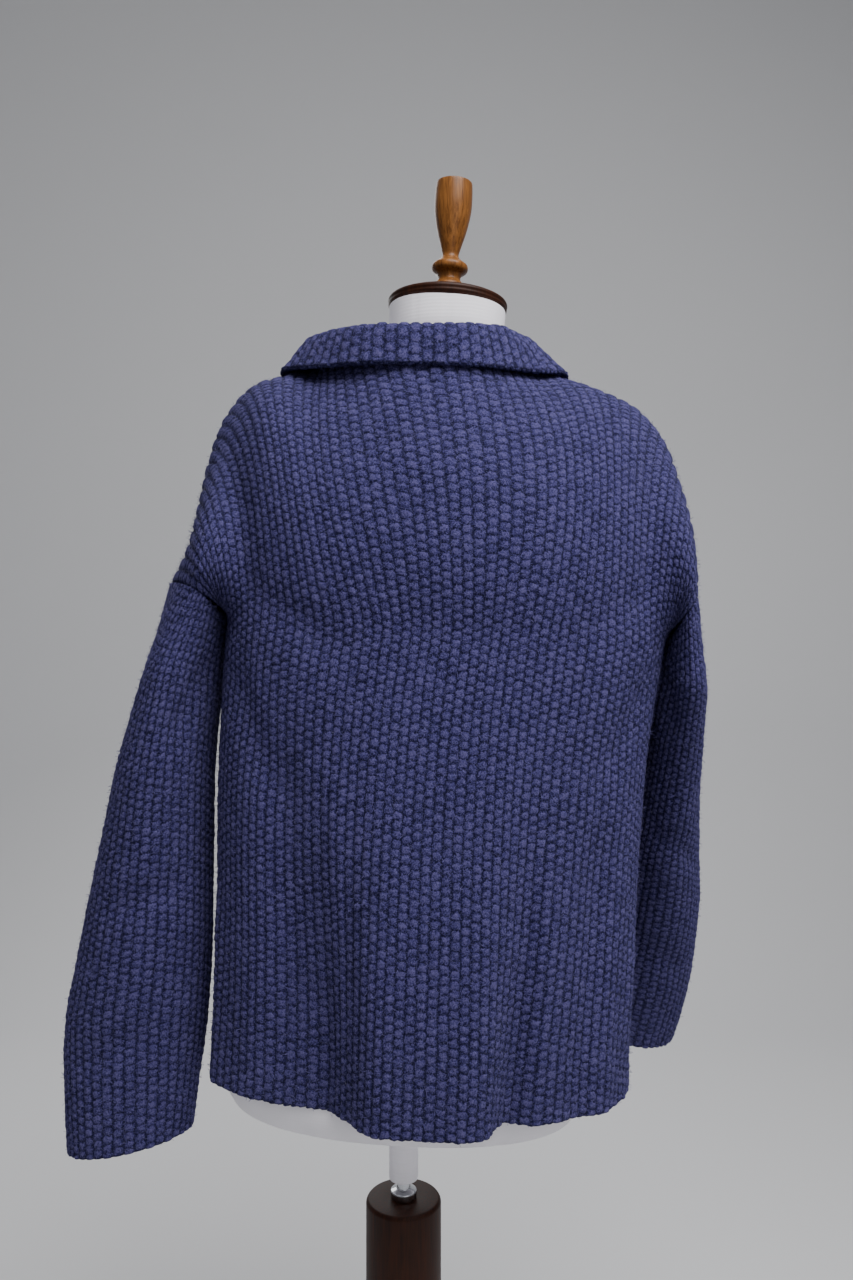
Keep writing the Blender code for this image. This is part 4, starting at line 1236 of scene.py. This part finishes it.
# Stray fibres: a tree that scatters thin bent hairs over the cloth
def fibre_tree():
    tree, given = new_tree("stray_fibres", "Cloth", {
        "Hairs per m2": 38000.0, "Hair Length": 0.0058, "Hair Width": 0.00026, "Bend": 70.0,
    })
    roots = add(tree, "GeometryNodeDistributePointsOnFaces", {
        "Mesh": given["Cloth"], "Density": given["Hairs per m2"], "Seed": 11,
    }, distribute_method="RANDOM").outputs
    strip = add(tree, "GeometryNodeMeshGrid", {
        "Size X": given["Hair Length"], "Size Y": given["Hair Width"],
        "Vertices X": 3, "Vertices Y": 2,
    }).outputs["Mesh"]
    place = add(tree, "GeometryNodeInputPosition").outputs[0]
    place = add(tree, "ShaderNodeSeparateXYZ", {"Vector": place}).outputs
    square = add(tree, "ShaderNodeMath", {0: place["X"], 1: place["X"]}, operation="MULTIPLY").outputs[0]
    rise = add(tree, "ShaderNodeMath", {0: square, 1: given["Bend"]}, operation="MULTIPLY").outputs[0]
    lift = add(tree, "ShaderNodeCombineXYZ", {"Y": rise, "Z": rise}).outputs["Vector"]
    hair = add(tree, "GeometryNodeSetPosition", {"Geometry": strip, "Offset": lift}).outputs["Geometry"]
    turn = add(tree, "FunctionNodeRandomValue", {
        0: (-0.6, -1.0, 0.0), 1: (0.6, 1.0, 6.283), "Seed": 3,
    }, data_type="FLOAT_VECTOR").outputs[0]
    turned = add(tree, "FunctionNodeRotateRotation", {
        "Rotation": roots["Rotation"], "Rotate By": turn,
    }, rotation_space="LOCAL").outputs["Rotation"]
    size = add(tree, "FunctionNodeRandomValue", {2: 0.5, 3: 1.4, "Seed": 5}, data_type="FLOAT").outputs[1]
    hairs = add(tree, "GeometryNodeInstanceOnPoints", {
        "Points": roots["Points"], "Instance": hair, "Rotation": turned, "Scale": size,
    }).outputs["Instances"]
    real = add(tree, "GeometryNodeRealizeInstances", {"Geometry": hairs}).outputs["Geometry"]
    done = add(tree, "GeometryNodeSetMaterial", {"Geometry": real, "Material": given["Yarn"]})
    add(tree, "NodeGroupOutput", {"Mesh": done.outputs["Geometry"]})
    return tree


# Stitched edges: a tree that lays one slanted loop of yarn for each stitch along a path
def edge_tree():
    tree, given = new_tree("edge_loops", "Path", {
        "Stitch Length": 0.0064, "Yarn Radius": 0.0019, "Loop Length": 0.0047,
    })
    curve = add(tree, "GeometryNodeMeshToCurve", {"Mesh": given["Path"]}).outputs["Curve"]
    even = {"Curve": curve, "Length": given["Stitch Length"]}
    even = add(tree, "GeometryNodeResampleCurve", even, mode="LENGTH")
    bead = {"Segments": 8, "Rings": 6, "Radius": 1.0}
    bead = add(tree, "GeometryNodeMeshUVSphere", bead).outputs["Mesh"]
    size = add(tree, "ShaderNodeCombineXYZ", {
        "X": given["Loop Length"], "Y": given["Yarn Radius"], "Z": given["Yarn Radius"],
    }).outputs["Vector"]
    slanted = add(tree, "GeometryNodeTransform", {
        "Geometry": bead, "Scale": size, "Rotation": (0.0, 0.0, math.radians(24)),
    }).outputs["Geometry"]
    tangent = add(tree, "GeometryNodeInputTangent").outputs["Tangent"]
    turn = add(tree, "FunctionNodeAlignRotationToVector", {"Vector": tangent}, axis="X")
    uneven = add(tree, "FunctionNodeRandomValue", {2: 0.86, 3: 1.12, "Seed": 7}, data_type="FLOAT")
    loops = add(tree, "GeometryNodeInstanceOnPoints", {
        "Points": even.outputs["Curve"], "Instance": slanted,
        "Rotation": turn.outputs["Rotation"], "Scale": uneven.outputs[1],
    }).outputs["Instances"]
    real = add(tree, "GeometryNodeRealizeInstances", {"Geometry": loops}).outputs["Geometry"]
    real = add(tree, "GeometryNodeSetShadeSmooth", {"Geometry": real}).outputs["Geometry"]
    done = add(tree, "GeometryNodeSetMaterial", {"Geometry": real, "Material": given["Yarn"]})
    add(tree, "NodeGroupOutput", {"Mesh": done.outputs["Geometry"]})
    return tree


def grown(name, points, edges, faces, tree, yarn):
    """The mesh that a tree makes on a guide of points, edges or faces."""
    mesh = bpy.data.meshes.new(name + "_guide")
    mesh.from_pydata(points, edges, faces)
    guide = placed(name + "_guide", mesh)
    maker = guide.modifiers.new("grown", "NODES")
    maker.node_group = tree
    for item in tree.interface.items_tree:
        if item.name == "Yarn":
            maker[item.identifier] = yarn
    seen = guide.evaluated_get(bpy.context.evaluated_depsgraph_get())
    made = bpy.data.meshes.new_from_object(seen)
    made.name = name
    bpy.data.objects.remove(guide, do_unlink=True)
    return placed(name, made)


def tube(points, radius, sides=8):
    """Points and faces of a closed round tube along a path."""
    points = np.asarray(points, float)
    along = unit(np.gradient(points, axis=0))
    side = unit(np.cross(along, [0.31, 0.17, 0.93]))
    up = np.cross(along, side)
    angle = np.arange(sides) / sides * 2 * math.pi
    c, s = np.cos(angle)[None, :, None], np.sin(angle)[None, :, None]
    ring = side[:, None] * c + up[:, None] * s
    out = (points[:, None] + radius * ring).reshape(-1, 3)
    faces = quads(len(points), sides, around=True).tolist()
    faces.append(tuple(reversed(range(sides))))
    faces.append(tuple(range((len(points) - 1) * sides, len(points) * sides)))
    return out, faces


# Settings that a user would change
def colour(label, code, text):
    return bpy.props.FloatVectorProperty(
        name=label, description=text, default=linear(code), min=0, max=1, size=3, subtype="COLOR",
    )


class CARDIGAN_PG_knit(bpy.types.PropertyGroup):
    relief: bpy.props.FloatProperty(
        name="Relief", description="Height of a bump over the gaps", default=0.0026, unit="LENGTH",
    )
    sunk: bpy.props.FloatProperty(
        name="Sunk", description="Share of the relief below the cloth's plain face",
        default=0.62, min=0, max=1, subtype="FACTOR",
    )
    unevenness: bpy.props.FloatProperty(
        name="Unevenness", description="How much the bumps differ in size",
        default=0.34, min=0, max=1, subtype="FACTOR",
    )
    # Lit and shaded copies of one yarn: a painted highlight on the crowns, a middle tone on the sides,
    # and painted shade on the feet and in the gaps between the stitches
    lit: colour("Lit yarn", "#5D5788", "Crowns of the stitches")
    mid: colour("Yarn", "#403D70", "Sides of the stitches")
    shadow: colour("Shaded yarn", "#272552", "Feet of the stitches")
    gap: colour("Gaps", "#111031", "Between the stitches")
    fuzz: colour("Fuzz", "#8482B4", "Stray fibres")


class CARDIGAN_PG_stand(bpy.types.PropertyGroup):
    jersey: colour("Form cover", "#F4F1F7", "White jersey of the form")
    walnut_dark: colour("Dark wood", "#1A0A04", "Dark grain of cap, column and base")
    walnut_light: colour("Light wood", "#3C1A08", "Light grain of cap, column and base")
    finial_dark: colour("Finial dark", "#4A2A12", "Dark grain of the finial")
    finial_light: colour("Finial light", "#8E5C2C", "Light grain of the finial")
    chrome: colour("Chrome", "#C9CBD0", "Plated rod")
    button_dark: colour("Button dark", "#2E1A10", "Body of the buttons")
    button_light: colour("Button light", "#6A4630", "Streaks in the buttons")


class CARDIGAN_PG_stage(bpy.types.PropertyGroup):
    floor: colour("Floor", "#D6D6D8", "Floor and backdrop")
    key: bpy.props.FloatProperty(
        name="Overhead light", description="Large soft light above", default=80.0, unit="POWER",
    )
    fill: bpy.props.FloatProperty(
        name="Fill light", description="Soft light from behind the camera", default=8.0, unit="POWER",
    )
    sky: bpy.props.FloatProperty(
        name="Room light", description="Even light from all around", default=0.26, min=0,
    )


# Pieces
def panel_grids(name):
    """The outer and inner grids of the back or a front, drawn in at its seams."""
    points, normals, _ = body_panels()[name]
    inner = points - normals * WALL
    pull_edges(points, SEAM_GAP)
    pull_edges(inner, SEAM_GAP)
    return points, inner


class CARDIGAN_OT_back(bpy.types.Operator):
    """Knits the back"""
    bl_idname = "cardigan.back"
    bl_label = "Back"

    def execute(self, context):
        knit = context.scene.cardigan_knit
        outer, inner = panel_grids("back")
        obj = knit_wall("knit_back", outer, inner, BODY_COLUMNS, BODY_BUMPS, knit, BACK_CREASES)
        dress(obj, "form", "wool", "back")
        return {"FINISHED"}


class CARDIGAN_OT_fronts(bpy.types.Operator):
    """Knits the two fronts"""
    bl_idname = "cardigan.fronts"
    bl_label = "Fronts"

    def execute(self, context):
        knit = context.scene.cardigan_knit
        mirrored = [(1 - a, b, 1 - c, d, w, h) for a, b, c, d, w, h in FRONT_CREASES]
        for node, creases in (("front_left", FRONT_CREASES), ("front_right", mirrored)):
            outer, inner = panel_grids(node)
            obj = knit_wall("knit_" + node, outer, inner, FRONT_COLUMNS, FRONT_BUMPS, knit, creases)
            dress(obj, "form", "wool", node)
        return {"FINISHED"}


class CARDIGAN_OT_sleeves(bpy.types.Operator):
    """Knits the two sleeves"""
    bl_idname = "cardigan.sleeves"
    bl_label = "Sleeves"

    def execute(self, context):
        knit = context.scene.cardigan_knit
        panels = body_panels()
        for node, side, creases in (
            ("sleeve_left", 1, SLEEVE_LEFT_CREASES), ("sleeve_right", -1, SLEEVE_RIGHT_CREASES),
        ):
            outer, inner = sleeve_walls(panels, side)
            obj = knit_wall(
                "knit_" + node, outer[::-1], inner[::-1], SLEEVE_COLUMNS, SLEEVE_BUMPS, knit,
                creases, around=True,
            )
            dress(obj, "form", "wool", node)
        return {"FINISHED"}


class CARDIGAN_OT_collar(bpy.types.Operator):
    """Knits the turned-down collar"""
    bl_idname = "cardigan.collar"
    bl_label = "Collar"

    def execute(self, context):
        knit = context.scene.cardigan_knit
        outer, inner = collar_walls(body_panels())
        obj = knit_wall(
            "knit_collar", outer.swapaxes(0, 1), inner.swapaxes(0, 1), COLLAR_COLUMNS, COLLAR_BUMPS,
            knit, COLLAR_CREASES, both=True,
        )
        dress(obj, "form", "wool", "collar")
        return {"FINISHED"}


class CARDIGAN_OT_edges(bpy.types.Operator):
    """Casts off the hem, cuffs, lap and collar with a row of loops"""
    bl_idname = "cardigan.edges"
    bl_label = "Cast-off edges"

    def execute(self, context):
        paths = [WALLS["knit_" + name][0][0] for name in ("back", "front_left", "front_right")]
        paths.append(WALLS["knit_front_right"][0][:, 0])
        for name in ("knit_sleeve_left", "knit_sleeve_right"):
            cuff = WALLS[name][0][-1]
            paths.append(np.concatenate([cuff, cuff[:1]]))
        fall = WALLS["knit_collar"][0]
        paths += [fall[:, -1], fall[0], fall[-1]]
        points, edges = [], []
        for path in paths:
            first = len(points)
            points += path.tolist()
            edges += [(k, k + 1) for k in range(first, len(points) - 1)]
        yarn = shared("plied_wool_yarn", wool, context.scene.cardigan_knit)
        dress(grown("cast_off_edges", points, edges, [], edge_tree(), yarn), "form", "wool")
        return {"FINISHED"}


class CARDIGAN_OT_fibres(bpy.types.Operator):
    """Raises stray fibres all over the knit"""
    bl_idname = "cardigan.fibres"
    bl_label = "Stray fibres"

    def execute(self, context):
        points, faces = [], []
        for name, (middle, out) in WALLS.items():
            around = "sleeve" in name
            flip = 1 if np.sum(out * grid_normals(middle, 1, around)) > 0 else -1
            fine = fine_grid(middle + out * HAIR_STAND, HAIR_ROWS, HAIR_COLUMNS, around)
            faces += (quads(*fine.shape[:2], around)[:, ::flip] + len(points)).tolist()
            points += fine.reshape(-1, 3).tolist()
        yarn = shared("stray_wool_fibre", loose_fibre, context.scene.cardigan_knit)
        dress(grown("stray_fibres", points, [], faces, fibre_tree(), yarn), "form", "wool")
        return {"FINISHED"}


def button_mesh():
    """One button at the origin: a dished disc with a rounded rim and four thread holes."""
    r, h = BUTTON_RADIUS, BUTTON_THICK
    profile = rounded([
        (0.0, h * 0.58), (r * 0.60, h * 0.58), (r * 0.74, h), (r * 0.90, h), (r, h * 0.52),
        (r * 0.90, 0.0), (0.0, 0.0),
    ], cut=0.0009)
    nut = bpy.data.materials["polished_corozo_nut"]
    body = turned_piece("button_blank", profile, nut, steps=48)
    drill = bmesh.new()
    for x, y in BUTTON_HOLES:
        bmesh.ops.create_cone(
            drill, cap_ends=True, segments=14, radius1=BUTTON_HOLE_RADIUS,
            radius2=BUTTON_HOLE_RADIUS, depth=0.02, matrix=Matrix.Translation((x, y, 0)),
        )
    cutter = placed("button_drill", bpy.data.meshes.new("button_drill"))
    drill.to_mesh(cutter.data)
    drill.free()
    cut = body.modifiers.new("holes", "BOOLEAN")
    cut.object = cutter
    cut.solver = "EXACT"
    seen = body.evaluated_get(bpy.context.evaluated_depsgraph_get())
    mesh = bpy.data.meshes.new_from_object(seen)
    bpy.data.objects.remove(cutter, do_unlink=True)
    bpy.data.objects.remove(body, do_unlink=True)
    return mesh


class CARDIGAN_OT_buttons(bpy.types.Operator):
    """Turns five plain buttons, drills them and sews them on"""
    bl_idname = "cardigan.buttons"
    bl_label = "Buttons"

    def execute(self, context):
        hard = context.scene.cardigan_stand
        corozo(hard.button_dark, hard.button_light)
        yarn = shared("plied_wool_yarn", wool, context.scene.cardigan_knit)
        blank = button_mesh()
        points, normals, shares = body_panels()["front_right"]
        column = int(np.argmin(abs(shares - 0.5)))
        line, out = points[:, column], normals[:, column]
        arch = THREAD_PATH + tuple((-reach, height) for reach, height in THREAD_PATH[::-1])
        thread = [
            tube([(x * reach, y * reach, height) for reach, height in arch], THREAD_RADIUS)
            for x, y in BUTTON_HOLES[:2]
        ]
        sewn, sewn_faces = [], []
        for k in range(BUTTON_COUNT):
            height = BUTTON_TOP_HEIGHT - k * BUTTON_PITCH
            place, way = (
                np.array([np.interp(height, line[:, 2], values[:, axis]) for axis in range(3)])
                for values in (line, out)
            )
            way = unit(way)
            side = unit(np.cross([0.0, 0.0, 1.0], way))
            turn = np.stack([side, np.cross(way, side), way], axis=1)
            seat = place + way * BUTTON_CLEARANCE
            mesh = blank.copy()
            mesh.transform(Matrix.Translation(seat.tolist()) @ Matrix(turn.tolist()).to_4x4())
            obj = placed(f"sewn_button_{k + 1}", mesh)
            dress(obj, "form", "button", f"button_{k + 1}")
            for loops, faces in thread:
                first = sum(len(part) for part in sewn)
                sewn.append(loops @ turn.T + seat)
                sewn_faces += [tuple(first + n for n in face) for face in faces]
        obj = mesh_piece("button_thread", np.concatenate(sewn), sewn_faces, yarn)
        dress(obj, "form", "wool")
        return {"FINISHED"}


class CARDIGAN_OT_form(bpy.types.Operator):
    """Covers the dress form and its pole with jersey"""
    bl_idname = "cardigan.form"
    bl_label = "Dress form"

    def execute(self, context):
        cover = jersey(context.scene.cardigan_stand.jersey)
        heights = np.concatenate([FORM_ROLL, np.linspace(TORSO[1][0], TORSO[-1][0], 84)])
        half_width, back, front = through(TORSO, heights).T - FORM_DRAWN_IN
        sides, rows = FORM_SIDES, len(heights)
        angle = np.arange(sides) / sides * 2 * math.pi
        power = 2 / TORSO_SQUARENESS
        c, s = np.cos(angle), np.sin(angle)
        depth = np.where(s >= 0, back[:, None], front[:, None])
        seam = np.ones(sides)
        seam[[round(share * sides) % sides for share in FORM_SEAMS]] = 1 - FORM_SEAM_DEPTH
        x = half_width[:, None] * np.sign(c) * abs(c) ** power * seam
        y = depth * np.sign(s) * abs(s) ** power * seam
        grid = leaning(x, y, np.broadcast_to(heights[:, None], x.shape))
        faces = [tuple(reversed(range(sides)))] + quads(rows, sides, around=True).tolist()
        faces.append(tuple(range((rows - 1) * sides, rows * sides)))
        obj = mesh_piece("covered_form", grid.reshape(-1, 3), faces, cover)
        dress(obj, "form", "form_cloth", "torso")
        r, foot = POLE_SLEEVE_RADIUS, POLE_SLEEVE_FOOT
        top = FORM_FOOT - r * math.sin(LEAN) - SEAM_GAP
        profile = [(0.0, top), (r, top)]
        for height in np.linspace(top - 0.004, foot + 0.006, 26):
            ripple = SLEEVE_RIPPLE * math.sin(height * SLEEVE_RIPPLES) ** 2
            profile.append((r - ripple, float(height)))
        profile += [(r * 0.97, foot + 0.001), (r * 0.88, foot), (0.0, foot)]
        sleeve = turned_piece("covered_pole", profile, cover, steps=48)
        dress(sleeve, "form", "form_cloth", "pole_sleeve")
        return {"FINISHED"}


class CARDIGAN_OT_wood(bpy.types.Operator):
    """Turns the neck cap and the finial"""
    bl_idname = "cardigan.wood"
    bl_label = "Neck cap and finial"

    def execute(self, context):
        hard = context.scene.cardigan_stand
        dark = turned_wood("varnished_walnut", hard.walnut_dark, hard.walnut_light, 0.50)
        warm = turned_wood("varnished_beech", hard.finial_dark, hard.finial_light, 0.32)
        top = TORSO[-1][0] + SEAM_GAP
        r, h = CAP_RADIUS, CAP_THICK
        cap = rounded([
            (0.0, h), (r * 0.90, h), (r * 0.985, h * 0.80), (r, h * 0.62), (r * 0.985, h * 0.46),
            (r * 0.992, h * 0.30), (r * 0.95, 0.0), (0.0, 0.0),
        ], cut=0.0016)
        cap = turned_piece("turned_neck_cap", cap, dark, steps=96, move=on_form(top))
        dress(cap, "form", "walnut", "neck_cap")
        table = np.array(FINIAL_PROFILE)
        keys = np.arange(len(table))
        smooth_line = through(np.column_stack([keys, table]), np.linspace(0, len(table) - 1, 90))
        smooth_line[:, 0] = smooth_line[:, 0].clip(0.0045)
        profile = [(0.0, FINIAL_TOP)] + [tuple(p) for p in smooth_line] + [(0.0, 0.0)]
        finial = turned_piece("turned_finial", profile, warm, move=on_form(top + h + SEAM_GAP))
        dress(finial, "form", "walnut", "finial")
        return {"FINISHED"}


class CARDIGAN_OT_stand(bpy.types.Operator):
    """Makes the chromed rod, the column and the round base"""
    bl_idname = "cardigan.stand"
    bl_label = "Stand"

    def execute(self, context):
        hard = context.scene.cardigan_stand
        chrome = polished_chrome(hard.chrome)
        wood = bpy.data.materials["varnished_walnut"]
        top, rest = POLE_SLEEVE_FOOT - SEAM_GAP, COLUMN_TOP + SEAM_GAP
        r, lip = ROD_RADIUS, ROD_COLLAR_RADIUS
        rod = rounded([
            (0.0, top), (r, top), (r, rest + 0.009), (lip, rest + 0.007), (lip, rest), (r, rest),
            (r, ROD_FOOT), (0.0, ROD_FOOT),
        ], cut=0.0009)
        dress(turned_piece("chromed_rod", rod, chrome), "form", "chrome", "pole_rod")
        r, bore, h, foot = COLUMN_RADIUS, BORE_RADIUS, COLUMN_TOP, BASE_THICK + SEAM_GAP
        column = rounded([
            (0.0, h - BORE_DEPTH), (bore, h - BORE_DEPTH), (bore, h), (r - 0.002, h), (r, h - 0.003),
            (r, foot), (0.0, foot),
        ], cut=0.0014)
        dress(turned_piece("turned_column", column, wood, steps=96), "stand", "walnut", "column")
        r, h = BASE_RADIUS, BASE_THICK
        base = rounded([
            (0.0, h), (r - 0.012, h), (r - 0.003, h - 0.004), (r, h - 0.012), (r, 0.002),
            (r - 0.002, 0.0), (0.0, 0.0),
        ], cut=0.003)
        dress(turned_piece("turned_base", base, wood, steps=128), "stand", "walnut", "base")
        return {"FINISHED"}


class CARDIGAN_OT_stage(bpy.types.Operator):
    """Sets the floor, the backdrop, the soft lights and the camera"""
    bl_idname = "cardigan.stage"
    bl_label = "Stage"

    def execute(self, context):
        stage = context.scene.cardigan_stage
        paint = matt_paint("studio_paint", stage.floor)
        r, far, half = SWEEP_RADIUS, FLOOR_FAR, BACKDROP_HALF_WIDTH
        angles = np.linspace(0, math.pi / 2, 14)[1:]
        profile = [(FLOOR_NEAR, 0.0), (far, 0.0)]
        profile += [(far - r * math.sin(a), r - r * math.cos(a)) for a in angles]
        profile += [(far - r, BACKDROP_TOP)]
        points = [(x, y, z) for y, z in profile for x in (-half, half)]
        mesh = bpy.data.meshes.new("floor_and_backdrop")
        mesh.from_pydata(points, [], quads(len(profile), 2).tolist())
        mesh.shade_smooth()
        mesh.materials.append(paint)
        placed("floor_and_backdrop", mesh)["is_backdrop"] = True
        for name, place, aim, size, power in (
            ("overhead_softbox", (-0.55, 0.95, 2.80), (0.0, 0.05, 1.10), 1.5, stage.key),
            ("camera_side_fill", (-0.9, 2.3, 1.6), (0.0, 0.0, 1.0), 1.8, stage.fill),
            ("front_fill", (0.6, -2.0, 2.2), (0.0, 0.0, 1.0), 1.8, stage.fill * 3.0),
        ):
            light = bpy.data.lights.new(name, "AREA")
            light.shape = "SQUARE"
            light.size = size
            light.energy = power
            lamp = placed(name, light)
            lamp.location = place
            lamp.rotation_euler = (Vector(aim) - Vector(place)).to_track_quat("-Z", "Y").to_euler()
        world = bpy.data.worlds.new("studio_room")
        world.use_nodes = True
        room = world.node_tree.nodes["Background"]
        room.inputs["Color"].default_value = (*linear("#E4E6EA"), 1)
        room.inputs["Strength"].default_value = stage.sky
        context.scene.world = world
        camera = bpy.data.cameras.new("camera")
        camera.lens = CAMERA_LENS
        camera.sensor_width = 36
        view = placed("camera", camera)
        view.location = CAMERA_PLACE
        view.rotation_euler = (math.radians(90), 0, math.radians(180))
        context.scene.camera = view
        return {"FINISHED"}


# The knitted walls come first, because the edges and fibres follow them
STEPS = (
    CARDIGAN_OT_back, CARDIGAN_OT_fronts, CARDIGAN_OT_sleeves, CARDIGAN_OT_collar,
    CARDIGAN_OT_edges, CARDIGAN_OT_fibres, CARDIGAN_OT_buttons,
    CARDIGAN_OT_form, CARDIGAN_OT_wood, CARDIGAN_OT_stand, CARDIGAN_OT_stage,
)


class CARDIGAN_PT_panel(bpy.types.Panel):
    """Lists the steps that make the cardigan"""
    bl_idname = "CARDIGAN_PT_panel"
    bl_label = "Moss-stitch cardigan"
    bl_space_type = "VIEW_3D"
    bl_region_type = "UI"
    bl_category = "Cardigan"

    def draw(self, context):
        for step in STEPS:
            self.layout.operator(step.bl_idname)
        for group in GROUPS:
            settings = getattr(context.scene, group)
            for name in settings.bl_rna.properties.keys()[2:]:
                self.layout.prop(settings, name)


GROUPS = {
    "cardigan_knit": CARDIGAN_PG_knit,
    "cardigan_stand": CARDIGAN_PG_stand,
    "cardigan_stage": CARDIGAN_PG_stage,
}


def register():
    for name, group in GROUPS.items():
        bpy.utils.register_class(group)
        setattr(bpy.types.Scene, name, bpy.props.PointerProperty(type=group))
    for step in STEPS + (CARDIGAN_PT_panel,):
        bpy.utils.register_class(step)


def unregister():
    for step in (CARDIGAN_PT_panel,) + STEPS[::-1]:
        bpy.utils.unregister_class(step)
    for name, group in GROUPS.items():
        delattr(bpy.types.Scene, name)
        bpy.utils.unregister_class(group)


def corners():
    low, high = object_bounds()
    return [[float(v) for v in low], [float(v) for v in high]]


def main():
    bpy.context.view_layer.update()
    register()
    for step in STEPS:
        area, name = step.bl_idname.split(".")
        getattr(getattr(bpy.ops, area), name)()


if __name__ == "__main__":
    main()
